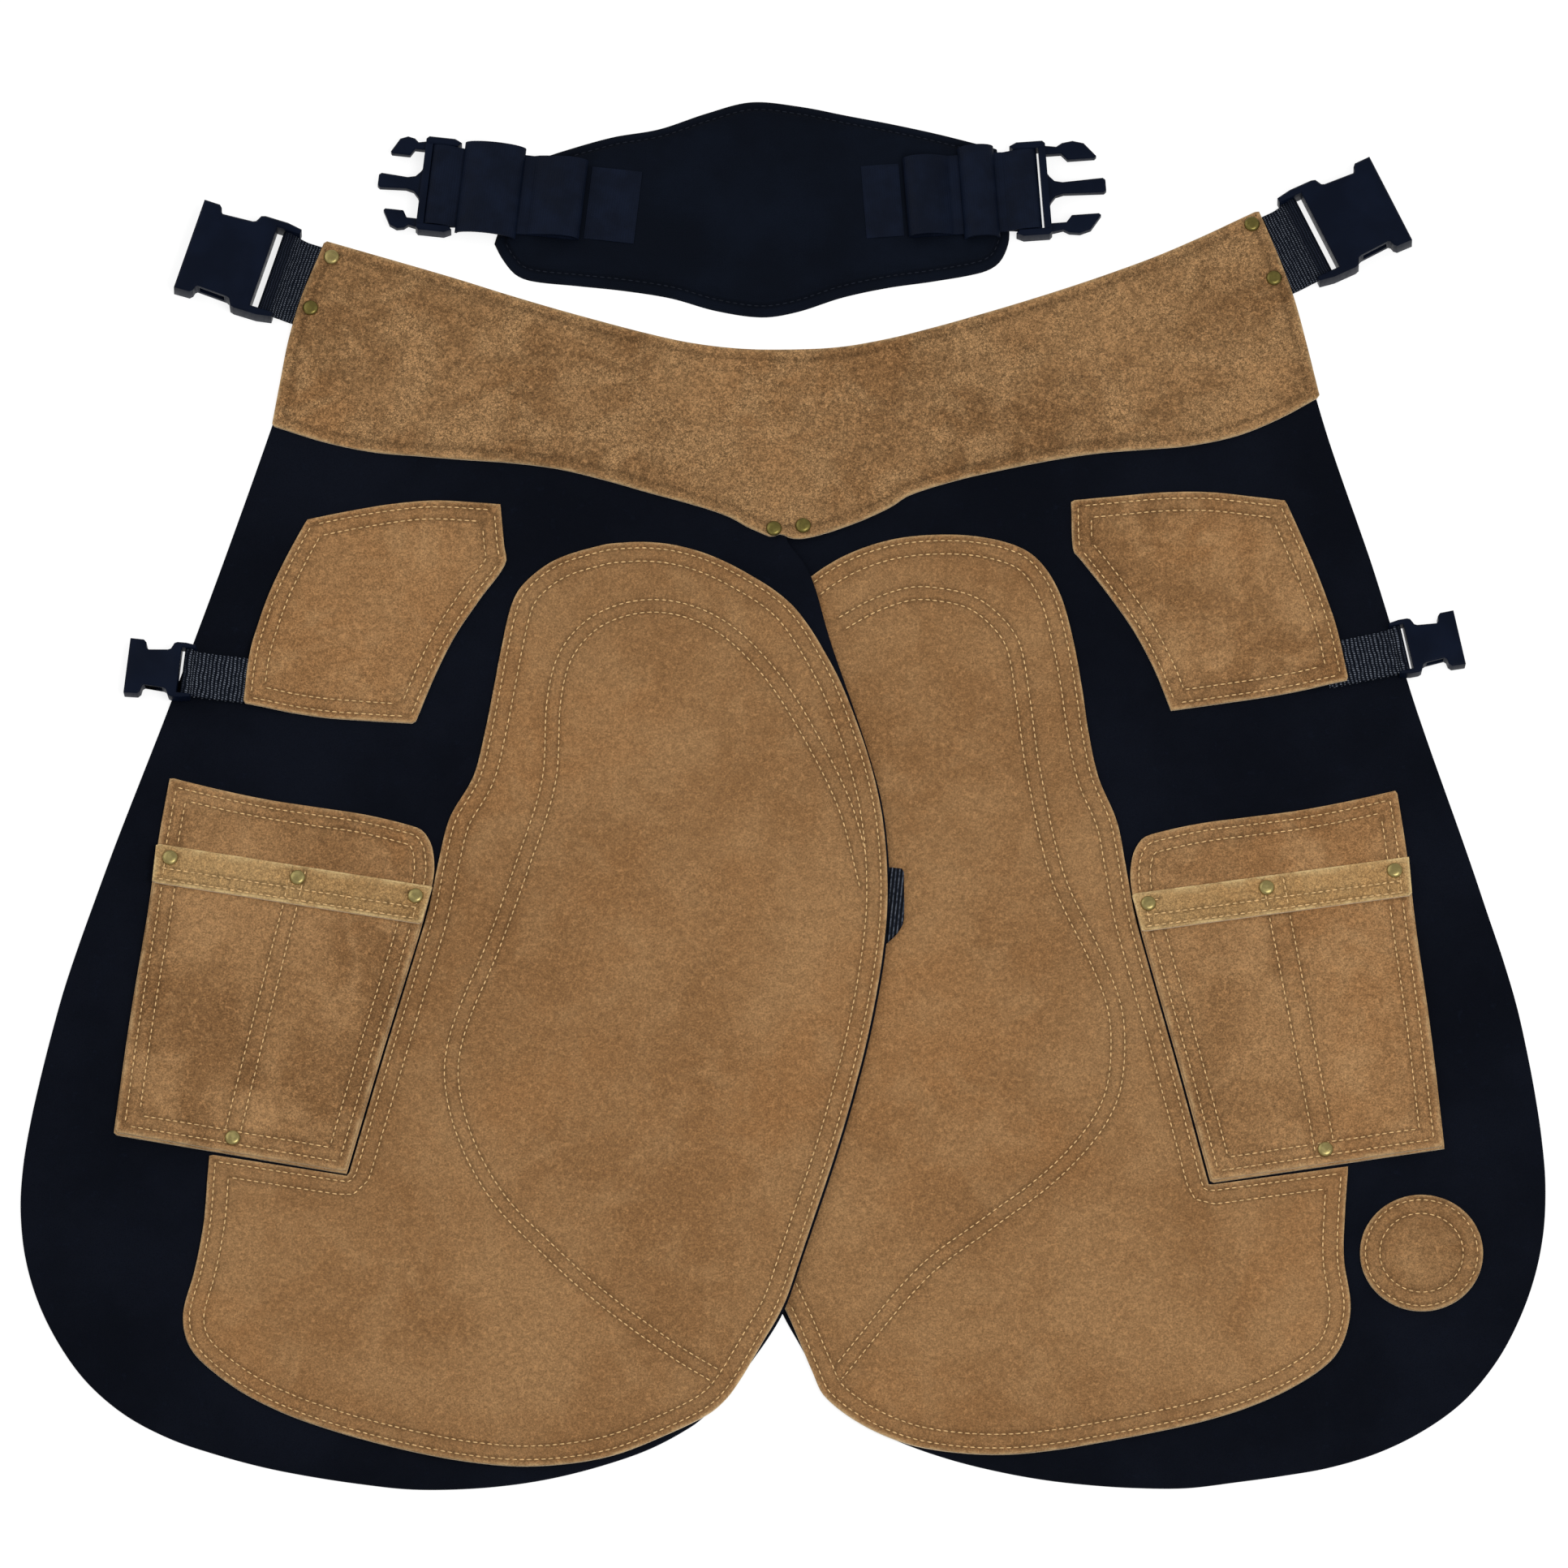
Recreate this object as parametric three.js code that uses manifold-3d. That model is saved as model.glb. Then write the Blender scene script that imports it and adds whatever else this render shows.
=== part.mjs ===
// Blacksmith apron: two navy leather leg panels with tan suede knee pads, pockets and
// waist yoke, webbing straps with side-release buckles, and a padded back support belt.
// Millimetres, +Z up. The apron lies face up on the floor with its waist towards +Y.

import * as THREE from 'three';
import { mergeVertices } from 'three/addons/utils/BufferGeometryUtils.js';
import Module from 'manifold-3d';

// Overall sizes
const apronWidth = 843;
const apronLength = 753;
const halfWidth = apronWidth / 2;

// Leather, suede and webbing
const panelThickness = 2.2;
const suedeThickness = 1.8;
const padPuff = 1.0;
const padEdgeWidth = 13;
const seamGrooveWidth = 9;
const gap = 0.3;
const sideClearance = 1.2;

// Where the left leg crosses over the right leg
const crossingRamp = 80;
const crossingMargin = 4;
const elasticThickness = 1.0;
const elasticWidth = 32;
const elasticReach = 9;
const elasticTuck = 6;
const yokeFall = 55;

// Pockets
const pocketMouthWidth = 154;
const pocketHeight = 172;
const pocketBackRise = 38;
const pocketFrontPuff = 1.6;
const bandHeight = 22;
const bandOverhang = 0.6;
const pocketSeamEdge = 14.5;

// Magnet pouch
const pouchDiameter = 68;
const pouchHeight = 6;

// Rivet caps
const rivetDiameter = 9;
const rivetHeight = 1.8;

// Waist straps and their female buckles
const waistWebThickness = 1.9;
const waistTuck = 18;
const waistBuckle = {
  webWidth: 48, length: 57, height: 13, rail: 4.2, barFromEnd: 6.3, barRadius: 3,
  slit: 2.8, shoulderRun: 3.4, notchLength: 19.6, notchDepth: 6.2, mouthLength: 11, lipSetBack: 1.2,
  cavityWidth: 40, cavityHeight: 7.4, cavityDepth: 36,
};

// Leg straps and their female buckles
const legWebThickness = 1.9;
const legTuck = 12;
const legBuckle = {
  webWidth: 26, length: 37, height: 8.6, rail: 2.8, barFromEnd: 3.4, barRadius: 1.5,
  slit: 1.6, shoulderRun: 3, notchLength: 13, notchDepth: 5.8, mouthLength: 9.6, lipSetBack: 0,
  cavityWidth: 17, cavityHeight: 5.6, cavityDepth: 24,
};

// Back support belt
const beltThickness = 6;
const beltEdge = 3;
const beltWebThickness = 1.6;
const beltKeeperWidth = 54;
const beltPatchWidth = 43;
const beltLoopHeight = 3.2;
const maleBuckle = {
  webWidth: 47, height: 11, rail: 4, length: 20, barFromEnd: 8.6, barRadius: 3,
  frontWall: 4, armWidth: 11, armThickness: 5.5, guideWidth: 9,
};
const maleReach = {
  left: { arm: 19, guide: 24 },
  right: { arm: 28, guide: 32 },
};
const webClearance = 0.4;

// Shares of the half width (across) and of the apron length below the waist (down)
const outerEdge = [
  { down: 0.170, left: -0.675, right: 0.714 },
  { down: 0.285, left: -0.743, right: 0.779 },
  { down: 0.388, left: -0.807, right: 0.831 },
  { down: 0.532, left: -0.899, right: 0.914 },
  { down: 0.640, left: -0.958, right: 0.969 },
  { down: 0.777, left: -1.000, right: 0.999 },
  { down: 0.853, left: -0.977, right: 0.974 },
  { down: 0.917, left: -0.911, right: 0.913 },
  { down: 0.952, left: -0.833, right: 0.843 },
  { down: 0.978, left: -0.710, right: 0.745 },
];
const hemEdge = {
  left: [
    { across: -0.582, down: 0.993 },
    { across: -0.458, down: 1.000 },
    { across: -0.287, down: 0.989 },
    { across: -0.123, down: 0.952 },
  ],
  right: [
    { across: 0.593, down: 0.994 },
    { across: 0.507, down: 0.999 },
    { across: 0.317, down: 0.990 },
    { across: 0.153, down: 0.963 },
    { across: 0.060, down: 0.930 },
  ],
};
const innerEdge = [
  { across: -0.021, down: 0.886 },
  { across: 0.003, down: 0.861 },
  { across: 0.030, down: 0.815 },
  { across: 0.083, down: 0.720 },
  { across: 0.121, down: 0.631 },
  { across: 0.139, down: 0.554 },
  { across: 0.137, down: 0.503 },
  { across: 0.126, down: 0.459 },
  { across: 0.100, down: 0.408 },
  { across: 0.063, down: 0.344 },
  { across: 0.030, down: 0.282 },
];
// Height of the crossing, as a share of its full height, down the centre line
const crossingRise = [
  { down: 0.140, share: 0.00 },
  { down: 0.217, share: 0.20 },
  { down: 0.260, share: 0.45 },
  { down: 0.291, share: 0.78 },
  { down: 0.320, share: 1.00 },
];
const yokeTop = [
  { across: -0.606, down: 0.024, corner: true },
  { across: -0.438, down: 0.053 },
  { across: -0.306, down: 0.077 },
  { across: -0.109, down: 0.106 },
  { across: 0.001, down: 0.110 },
  { across: 0.099, down: 0.106 },
  { across: 0.290, down: 0.077 },
  { across: 0.494, down: 0.036 },
  { across: 0.628, down: 0.000, corner: true },
  { across: 0.670, down: 0.061 },
];
const yokeBottom = [
  { across: 0.708, down: 0.147, corner: true },
  { across: 0.659, down: 0.163 },
  { across: 0.573, down: 0.182 },
  { across: 0.396, down: 0.193 },
  { across: 0.264, down: 0.208 },
  { across: 0.172, down: 0.223 },
  { across: 0.132, down: 0.237 },
  { across: 0.041, down: 0.258 },
  { across: 0.012, down: 0.260 },
  { across: -0.003, down: 0.256, corner: true },
  { across: -0.018, down: 0.259 },
  { across: -0.077, down: 0.241 },
  { across: -0.181, down: 0.222 },
  { across: -0.306, down: 0.203 },
  { across: -0.458, down: 0.195 },
  { across: -0.570, down: 0.188 },
  { across: -0.675, down: 0.170, corner: true },
  { across: -0.646, down: 0.085 },
];
const patchEdge = {
  left: [
    { across: -0.628, down: 0.244, corner: true },
    { across: -0.531, down: 0.233 },
    { across: -0.458, down: 0.229 },
    { across: -0.373, down: 0.232, corner: true },
    { across: -0.366, down: 0.278, corner: true },
    { across: -0.438, down: 0.341 },
    { across: -0.485, down: 0.404, corner: true },
    { across: -0.610, down: 0.399 },
    { across: -0.711, down: 0.389, corner: true },
    { across: -0.701, down: 0.345 },
    { across: -0.672, down: 0.294 },
  ],
  right: [
    { across: 0.379, down: 0.229, corner: true },
    { across: 0.540, down: 0.222 },
    { across: 0.662, down: 0.229, corner: true },
    { across: 0.698, down: 0.278 },
    { across: 0.725, down: 0.322 },
    { across: 0.744, down: 0.371, corner: true },
    { across: 0.659, down: 0.381 },
    { across: 0.510, down: 0.394, corner: true },
    { across: 0.475, down: 0.345 },
    { across: 0.422, down: 0.298 },
    { across: 0.382, down: 0.268, corner: true },
  ],
};
const padTop = {
  left: [
    { across: -0.443, down: 0.484 },
    { across: -0.408, down: 0.446 },
    { across: -0.381, down: 0.376 },
    { across: -0.352, down: 0.303 },
    { across: -0.315, down: 0.281 },
    { across: -0.262, down: 0.267 },
    { across: -0.177, down: 0.262 },
    { across: -0.112, down: 0.270 },
    { across: -0.042, down: 0.291 },
    { across: 0.012, down: 0.315 },
    { across: 0.065, down: 0.363 },
  ],
  right: [
    { across: 0.440, down: 0.484 },
    { across: 0.411, down: 0.440 },
    { across: 0.393, down: 0.376 },
    { across: 0.384, down: 0.345 },
    { across: 0.358, down: 0.294 },
    { across: 0.326, down: 0.271 },
    { across: 0.288, down: 0.261 },
    { across: 0.208, down: 0.256 },
    { across: 0.127, down: 0.262 },
    { across: 0.076, down: 0.274 },
    { across: 0.018, down: 0.298 },
    { across: -0.038, down: 0.336 },
    { across: -0.065, down: 0.363 },
  ],
};
const padLobe = {
  left: [
    { across: -0.083, down: 0.936 },
    { across: -0.142, down: 0.955 },
    { across: -0.208, down: 0.972 },
    { across: -0.333, down: 0.983 },
    { across: -0.504, down: 0.969 },
    { across: -0.689, down: 0.932 },
    { across: -0.774, down: 0.893 },
    { across: -0.786, down: 0.866 },
    { across: -0.764, down: 0.814 },
  ],
  right: [
    { across: 0.053, down: 0.928 },
    { across: 0.107, down: 0.952 },
    { across: 0.165, down: 0.966 },
    { across: 0.278, down: 0.974 },
    { across: 0.428, down: 0.963 },
    { across: 0.613, down: 0.936 },
    { across: 0.718, down: 0.900 },
    { across: 0.742, down: 0.866 },
    { across: 0.734, down: 0.818 },
  ],
};
const padSeam = {
  left: [
    { across: -0.144, down: 0.314 },
    { across: -0.194, down: 0.315 },
    { across: -0.248, down: 0.325 },
    { across: -0.289, down: 0.350 },
    { across: -0.306, down: 0.450 },
    { across: -0.382, down: 0.579 },
    { across: -0.426, down: 0.643 },
    { across: -0.436, down: 0.681 },
    { across: -0.417, down: 0.729 },
    { across: -0.311, down: 0.814 },
    { across: -0.144, down: 0.894 },
  ],
  right: [
    { across: 0.119, down: 0.312 },
    { across: 0.165, down: 0.303 },
    { across: 0.248, down: 0.310 },
    { across: 0.303, down: 0.345 },
    { across: 0.328, down: 0.440 },
    { across: 0.360, down: 0.524 },
    { across: 0.412, down: 0.591 },
    { across: 0.438, down: 0.668 },
    { across: 0.399, down: 0.728 },
    { across: 0.267, down: 0.795 },
    { across: 0.090, down: 0.895 },
  ],
};
const beltEdgePoints = [
  { across: -0.347, down: -0.037, corner: true },
  { across: -0.242, down: -0.057 },
  { across: -0.154, down: -0.067 },
  { across: -0.065, down: -0.085 },
  { across: -0.016, down: -0.087 },
  { across: 0.050, down: -0.080 },
  { across: 0.180, down: -0.065 },
  { across: 0.282, down: -0.050, corner: true },
  { across: 0.298, down: 0.022 },
  { across: 0.279, down: 0.043 },
  { across: 0.223, down: 0.052 },
  { across: 0.099, down: 0.064 },
  { across: 0.017, down: 0.079 },
  { across: -0.019, down: 0.083 },
  { across: -0.082, down: 0.079 },
  { across: -0.125, down: 0.071 },
  { across: -0.224, down: 0.061 },
  { across: -0.341, down: 0.053 },
  { across: -0.362, down: 0.045 },
  { across: -0.382, down: 0.025, corner: true },
];

// Pocket outline: across in shares of the mouth width, down in shares of the height below the
// mouth or, above it, of the back's rise
const pocketSides = [
  { across: 0.500, down: 0.00 },
  { across: 0.484, down: 0.16 },
  { across: 0.427, down: 0.60 },
  { across: 0.380, down: 1.00, corner: true },
  { across: -0.470, down: 0.99, corner: true },
  { across: -0.486, down: 0.60 },
  { across: -0.492, down: 0.20 },
  { across: -0.500, down: 0.00 },
];
const pocketRise = [
  { across: -0.500, up: 1.10, corner: true },
  { across: -0.200, up: 1.00 },
  { across: 0.330, up: 0.97 },
  { across: 0.440, up: 0.86 },
  { across: 0.490, up: 0.50 },
];

// Places of the small pieces: across and down as above, turn in degrees, inward-positive
const pocketPlace = {
  left: { across: -0.643, down: 0.518, turn: -9.4 },
  right: { across: 0.640, down: 0.526, turn: 8.1 },
};
const pouchPlace = { across: 0.836, down: 0.8175 };
const waistStrapPlace = {
  left: { across: -0.6275, down: 0.059, turn: 162 },
  right: { across: 0.6532, down: 0.0345, turn: 25.5 },
};
const legStrapPlace = {
  left: { across: -0.7115, down: 0.3707, turn: 173.3 },
  right: { across: 0.74, down: 0.3565, turn: 12 },
};
const legStrapReach = 31;
const waistStrapReach = 19;
const beltHardware = {
  left: { across: -0.452, down: -0.017, turn: 173.5 },
  right: { across: 0.3235, down: -0.0139, turn: 4.3 },
};
// Lengths along the belt, one after the other from the end of the male buckle
const beltLayout = {
  left: { keeperGap: 1, keeper: 35.5, fold: 35, patchGap: 2, patch: 28 },
  right: { keeperGap: 8.4, keeper: 21.5, fold: 30.5, patchGap: 2, patch: 21 },
};
const yokeRivets = [
  { name: 'left_upper', across: -0.597, down: 0.0375 },
  { name: 'left_lower', across: -0.6245, down: 0.0776 },
  { name: 'centre_left', across: -0.0125, down: 0.2530 },
  { name: 'centre_right', across: 0.0260, down: 0.2505 },
  { name: 'right_upper', across: 0.6192, down: 0.0114 },
  { name: 'right_lower', across: 0.6480, down: 0.0540 },
];
// Pocket rivets: across in shares of the mouth width; on the band, or below it by the share down
const pocketRivets = [
  { name: 'outer', across: -0.445, onBand: true },
  { name: 'middle', across: 0.020, onBand: true },
  { name: 'inner', across: 0.450, onBand: true },
  { name: 'base', across: -0.045, down: 0.945 },
];

const materials = {
  leather: new THREE.MeshStandardMaterial({ color: 0x0c1018, roughness: 0.55, metalness: 0 }),
  suede: new THREE.MeshStandardMaterial({ color: 0x8f6b43, roughness: 0.95, metalness: 0 }),
  suedeBand: new THREE.MeshStandardMaterial({ color: 0xb19164, roughness: 0.95, metalness: 0 }),
  webbing: new THREE.MeshStandardMaterial({ color: 0x121722, roughness: 0.9, metalness: 0 }),
  belt: new THREE.MeshStandardMaterial({ color: 0x0c121b, roughness: 0.8, metalness: 0 }),
  plastic: new THREE.MeshStandardMaterial({ color: 0x0c1423, roughness: 0.35, metalness: 0 }),
  brass: new THREE.MeshStandardMaterial({ color: 0x82784a, roughness: 0.35, metalness: 1 }),
};

// Heights of the layers above the floor
const overlayZ = panelThickness + gap;
const padTopZ = overlayZ + suedeThickness + padPuff;
const crossingHeight = padTopZ + gap + elasticThickness + gap;

const apron = new THREE.Group();

function addMesh(name, geometry, material) {
  const mesh = new THREE.Mesh(geometry, material);
  mesh.name = name;
  apron.add(mesh);
  return mesh;
}

function place(row) {
  return new THREE.Vector2(row.across * halfWidth, (0.5 - row.down) * apronLength);
}

function smooth(t) {
  const s = Math.min(Math.max(t, 0), 1);
  return s * s * (3 - 2 * s);
}

// Value of a table at x, along a smooth curve through its rows
function curveValue(rows, key, value, x) {
  const last = rows.length - 1;
  if (x <= rows[0][key]) return rows[0][value];
  if (x >= rows[last][key]) return rows[last][value];
  let i = 0;
  while (rows[i + 1][key] < x) i += 1;
  const slope = (a, b) => (rows[b][value] - rows[a][value]) / (rows[b][key] - rows[a][key]);
  const width = rows[i + 1][key] - rows[i][key];
  const startSlope = i > 0 ? slope(i - 1, i + 1) : 0;
  const endSlope = i + 1 < last ? slope(i, i + 2) : 0;
  const t = (x - rows[i][key]) / width;
  const rise = rows[i + 1][value] - rows[i][value];
  const bend = (startSlope * (1 - t) - endSlope * t) * width - rise * (1 - 2 * t);
  return rows[i][value] + rise * t + t * (1 - t) * bend;
}

// Hidden inner edge of the right leg, the mirror image of the left leg's, from the waist down
const hiddenEdge = [
  { down: 0.259, across: 0 },
  ...innerEdge.map((row) => ({ down: row.down, across: -row.across })).reverse(),
  { down: 0.952, across: 0.123 },
  { down: 1.000, across: 0.300 },
];

// How far the left leg is raised where it climbs over the right leg
function crossingLift(x, y) {
  const down = 0.5 - y / apronLength;
  const rise = curveValue(crossingRise, 'down', 'share', down);
  const edge = curveValue(hiddenEdge, 'down', 'across', down) * halfWidth - crossingMargin;
  return crossingHeight * rise * smooth((x - edge + crossingRamp) / crossingRamp);
}

// The yoke follows the left leg and falls back to the right leg beyond the centre line
function yokeLift(x, y) {
  return crossingLift(Math.min(x, 0), y) * (1 - smooth(x / yokeFall));
}

function flat() {
  return 0;
}

// Closed smooth loop through the points, with a sharp turn at each corner, as short steps
function smoothLoop(points) {
  const start = points.findIndex((point) => point.corner);
  const turned = points.slice(Math.max(start, 0)).concat(points.slice(0, Math.max(start, 0)));
  const loop = [];
  let stretch = [turned[0].at];
  const close = (closed) => {
    const curve = new THREE.CatmullRomCurve3(
      stretch.map((p) => new THREE.Vector3(p.x, p.y, 0)), closed, 'centripetal');
    const steps = Math.max(1, Math.round(curve.getLength() / 2));
    const fine = curve.getSpacedPoints(steps).slice(0, steps);
    fine.forEach((p, i) => loop.push({ x: p.x, y: p.y, corner: i === 0 && !closed }));
  };
  if (start < 0) {
    stretch = turned.map((point) => point.at);
    close(true);
    return loop;
  }
  for (let i = 1; i <= turned.length; i += 1) {
    const point = turned[i % turned.length];
    stretch.push(point.at);
    if (point.corner) {
      close(false);
      stretch = [point.at];
    }
  }
  return loop;
}

// Keeps the corners and enough of the steps for the wanted spacing
function thinLoop(loop, spacing) {
  const kept = [loop[0]];
  let heading = null;
  for (let i = 1; i < loop.length; i += 1) {
    const last = kept[kept.length - 1];
    const next = loop[(i + 1) % loop.length];
    const distance = Math.hypot(loop[i].x - last.x, loop[i].y - last.y);
    const angle = Math.atan2(next.y - loop[i].y, next.x - loop[i].x);
    if (heading === null) heading = angle;
    const turn = Math.abs(Math.atan2(Math.sin(angle - heading), Math.cos(angle - heading)));
    const full = distance > spacing(loop[i].x, loop[i].y) || (turn > 0.3 && distance > 3);
    if (loop[i].corner || full) {
      const crowded = distance < 2.5 && kept.length > 1 && !last.corner;
      if (crowded) kept.pop();
      kept.push(loop[i]);
      heading = null;
    }
  }
  const end = kept[kept.length - 1];
  if (Math.hypot(end.x - kept[0].x, end.y - kept[0].y) < 2.5) kept.pop();
  return kept;
}

function signedArea(loop) {
  let sum = 0;
  loop.forEach((p, i) => {
    const q = loop[(i + 1) % loop.length];
    sum += p.x * q.y - q.x * p.y;
  });
  return sum / 2;
}

function isInside(loop, x, y) {
  let inside = false;
  loop.forEach((p, i) => {
    const q = loop[(i + 1) % loop.length];
    if ((p.y > y) !== (q.y > y)) {
      const crossing = p.x + ((y - p.y) * (q.x - p.x)) / (q.y - p.y);
      if (x < crossing) inside = !inside;
    }
  });
  return inside;
}

function distanceToLine(points, x, y, closed) {
  let best = Infinity;
  const count = closed ? points.length : points.length - 1;
  for (let i = 0; i < count; i += 1) {
    const p = points[i];
    const q = points[(i + 1) % points.length];
    const dx = q.x - p.x;
    const dy = q.y - p.y;
    const along = ((x - p.x) * dx + (y - p.y) * dy) / (dx * dx + dy * dy || 1);
    const t = Math.min(Math.max(along, 0), 1);
    best = Math.min(best, Math.hypot(x - p.x - t * dx, y - p.y - t * dy));
  }
  return best;
}

// Delaunay triangulation of the points, kept where it lies inside the loop
function triangulate(points, loop) {
  const span = 10 * (apronWidth + apronLength);
  const all = points.map((p, i) => ({
    x: p.x + 0.004 * Math.sin(i * 12.9898),
    y: p.y + 0.004 * Math.sin(i * 78.233),
  }));
  const n = all.length;
  all.push({ x: -span, y: -span }, { x: span, y: -span }, { x: 0, y: span });
  const circle = (a, b, c) => {
    const A = all[a];
    const B = all[b];
    const C = all[c];
    const d = 2 * (A.x * (B.y - C.y) + B.x * (C.y - A.y) + C.x * (A.y - B.y));
    const aa = A.x * A.x + A.y * A.y;
    const bb = B.x * B.x + B.y * B.y;
    const cc = C.x * C.x + C.y * C.y;
    const x = (aa * (B.y - C.y) + bb * (C.y - A.y) + cc * (A.y - B.y)) / d;
    const y = (aa * (C.x - B.x) + bb * (A.x - C.x) + cc * (B.x - A.x)) / d;
    return { a, b, c, x, y, r: (A.x - x) ** 2 + (A.y - y) ** 2 };
  };
  let triangles = [circle(n, n + 1, n + 2)];
  for (let i = 0; i < n; i += 1) {
    const p = all[i];
    const open = new Map();
    const rest = [];
    for (const t of triangles) {
      if ((p.x - t.x) ** 2 + (p.y - t.y) ** 2 >= t.r) {
        rest.push(t);
        continue;
      }
      for (const [u, v] of [[t.a, t.b], [t.b, t.c], [t.c, t.a]]) {
        const back = `${v},${u}`;
        if (open.has(back)) open.delete(back);
        else open.set(`${u},${v}`, [u, v]);
      }
    }
    for (const [u, v] of open.values()) rest.push(circle(u, v, i));
    triangles = rest;
  }
  const real = triangles.filter((t) => t.a < n && t.b < n && t.c < n);
  const edges = new Set();
  real.forEach((t) => {
    edges.add(`${t.a},${t.b}`).add(`${t.b},${t.c}`).add(`${t.c},${t.a}`);
  });
  const missing = [];
  for (let i = 0; i < loop.length; i += 1) {
    const j = (i + 1) % loop.length;
    if (!edges.has(`${i},${j}`) && !edges.has(`${j},${i}`)) missing.push(i);
  }
  const kept = real.filter((t) => {
    const x = (all[t.a].x + all[t.b].x + all[t.c].x) / 3;
    const y = (all[t.a].y + all[t.b].y + all[t.c].y) / 3;
    return isInside(loop, x, y);
  });
  return { triangles: kept.map((t) => [t.a, t.b, t.c]), missing };
}

// Loop whose every side is an edge of the triangulation, halving the sides that aren't
function fitLoop(loop, layers) {
  let fitted = loop;
  for (let pass = 0; pass < 8; pass += 1) {
    const missing = new Set();
    layers.forEach((inner) => {
      triangulate([...fitted, ...inner], fitted).missing.forEach((i) => missing.add(i));
    });
    if (missing.size === 0) return fitted;
    fitted = fitted.flatMap((p, i) => {
      const q = fitted[(i + 1) % fitted.length];
      return missing.has(i) ? [p, { x: (p.x + q.x) / 2, y: (p.y + q.y) / 2 }] : [p];
    });
  }
  throw new Error('a sheet outline crosses itself');
}

// Points of a staggered grid inside the loop, clear of its edge and of the relief points
function gridPoints(loop, stepX, stepY, wanted, others) {
  const points = [];
  const reach = apronLength;
  for (let row = Math.floor(-reach / stepY); row * stepY < reach; row += 1) {
    const shift = row % 2 === 0 ? 0 : stepX / 2;
    for (let x = Math.floor(-reach / stepX) * stepX + shift; x < reach; x += stepX) {
      const y = row * stepY;
      if (!wanted(x, y) || !isInside(loop, x, y)) continue;
      if (distanceToLine(loop, x, y, true) < stepX * 0.45) continue;
      if (others.some((p) => Math.hypot(p.x - x, p.y - y) < stepX * 0.5)) continue;
      points.push({ x, y });
    }
  }
  return points;
}

// Points along the inside of a loop, at the given distance from it
function ringPoints(loop, inset, spacing) {
  const sign = Math.sign(signedArea(loop));
  const ring = [];
  loop.forEach((p, i) => {
    const before = loop[(i + loop.length - 1) % loop.length];
    const after = loop[(i + 1) % loop.length];
    const length = Math.hypot(after.x - before.x, after.y - before.y);
    const x = p.x - (sign * inset * (after.y - before.y)) / length;
    const y = p.y + (sign * inset * (after.x - before.x)) / length;
    if (!isInside(loop, x, y) || distanceToLine(loop, x, y, true) < inset * 0.9) return;
    if (ring.some((q) => Math.hypot(q.x - x, q.y - y) < spacing)) return;
    ring.push({ x, y });
  });
  return ring;
}

// Closed sheet between a bottom and a top height over the loop
function sheetGeometry(rawLoop, bottomInner, topInner, bottomZ, topZ) {
  const wound = signedArea(rawLoop) > 0 ? rawLoop : [...rawLoop].reverse();
  const loop = fitLoop(wound, [bottomInner, topInner]);
  const positions = [];
  const addFace = (points, triangles, height, up) => {
    triangles.forEach(([a, b, c]) => {
      const [p, q, r] = [points[a], points[b], points[c]];
      const turn = (q.x - p.x) * (r.y - p.y) - (r.x - p.x) * (q.y - p.y);
      const order = (turn > 0) === up ? [p, q, r] : [p, r, q];
      order.forEach((v) => positions.push(v.x, v.y, height(v.x, v.y)));
    });
  };
  const bottomPoints = [...loop, ...bottomInner];
  const topPoints = [...loop, ...topInner];
  addFace(bottomPoints, triangulate(bottomPoints, loop).triangles, bottomZ, false);
  addFace(topPoints, triangulate(topPoints, loop).triangles, topZ, true);
  loop.forEach((p, i) => {
    const q = loop[(i + 1) % loop.length];
    const [pLow, qLow] = [bottomZ(p.x, p.y), bottomZ(q.x, q.y)];
    const [pHigh, qHigh] = [topZ(p.x, p.y), topZ(q.x, q.y)];
    positions.push(p.x, p.y, pLow, q.x, q.y, qLow, q.x, q.y, qHigh);
    positions.push(p.x, p.y, pLow, q.x, q.y, qHigh, p.x, p.y, pHigh);
  });
  const geometry = new THREE.BufferGeometry();
  geometry.setAttribute('position', new THREE.Float32BufferAttribute(positions, 3));
  const merged = mergeVertices(geometry, 1e-5);
  merged.computeVertexNormals();
  return merged;
}

// The grid is fine where the left leg climbs, and open elsewhere
const fineX = 12;
const fineY = 24;
const openStep = 52;
const edgeStep = 26;
const pocketStep = 30;

function isRising(x, y) {
  const down = 0.5 - y / apronLength;
  return down > crossingRise[0].down - 0.03
    && down < crossingRise[crossingRise.length - 1].down + 0.03
    && crossingLift(x + fineX, y) > 0.02;
}

function isClimbing(x, y) {
  const across = crossingLift(x + fineX, y) - crossingLift(x - fineX, y);
  return Math.abs(across) > 0.02 || isRising(x, y);
}

function climbGrid(loop, others = []) {
  const rising = gridPoints(loop, fineX, fineX * 0.9, isRising, others);
  const steady = (x, y) => isClimbing(x, y) && !isRising(x, y);
  const fine = [...rising, ...gridPoints(loop, fineX, fineY, steady, [...others, ...rising])];
  const around = [...others, ...fine];
  const apart = (x, y) => !isClimbing(x, y)
    && !around.some((p) => Math.hypot(p.x - x, p.y - y) < openStep * 0.4);
  return [...fine, ...gridPoints(loop, openStep, openStep * 0.87, apart, [])];
}

function climbSpacing(x, y) {
  return isClimbing(x, y) ? fineX : edgeStep;
}

function openSpacing() {
  return edgeStep;
}

// Pocket frame: across runs inward along the mouth, down runs to the base
function pocketPoint(side, across, down) {
  const spot = pocketPlace[side];
  const centre = place(spot);
  const inward = side === 'left' ? 1 : -1;
  const turn = THREE.MathUtils.degToRad(spot.turn);
  const [c, s] = [Math.cos(turn), Math.sin(turn)];
  const [x, y] = [inward * across, -down];
  return new THREE.Vector2(centre.x + x * c - y * s, centre.y + x * s + y * c);
}

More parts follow.
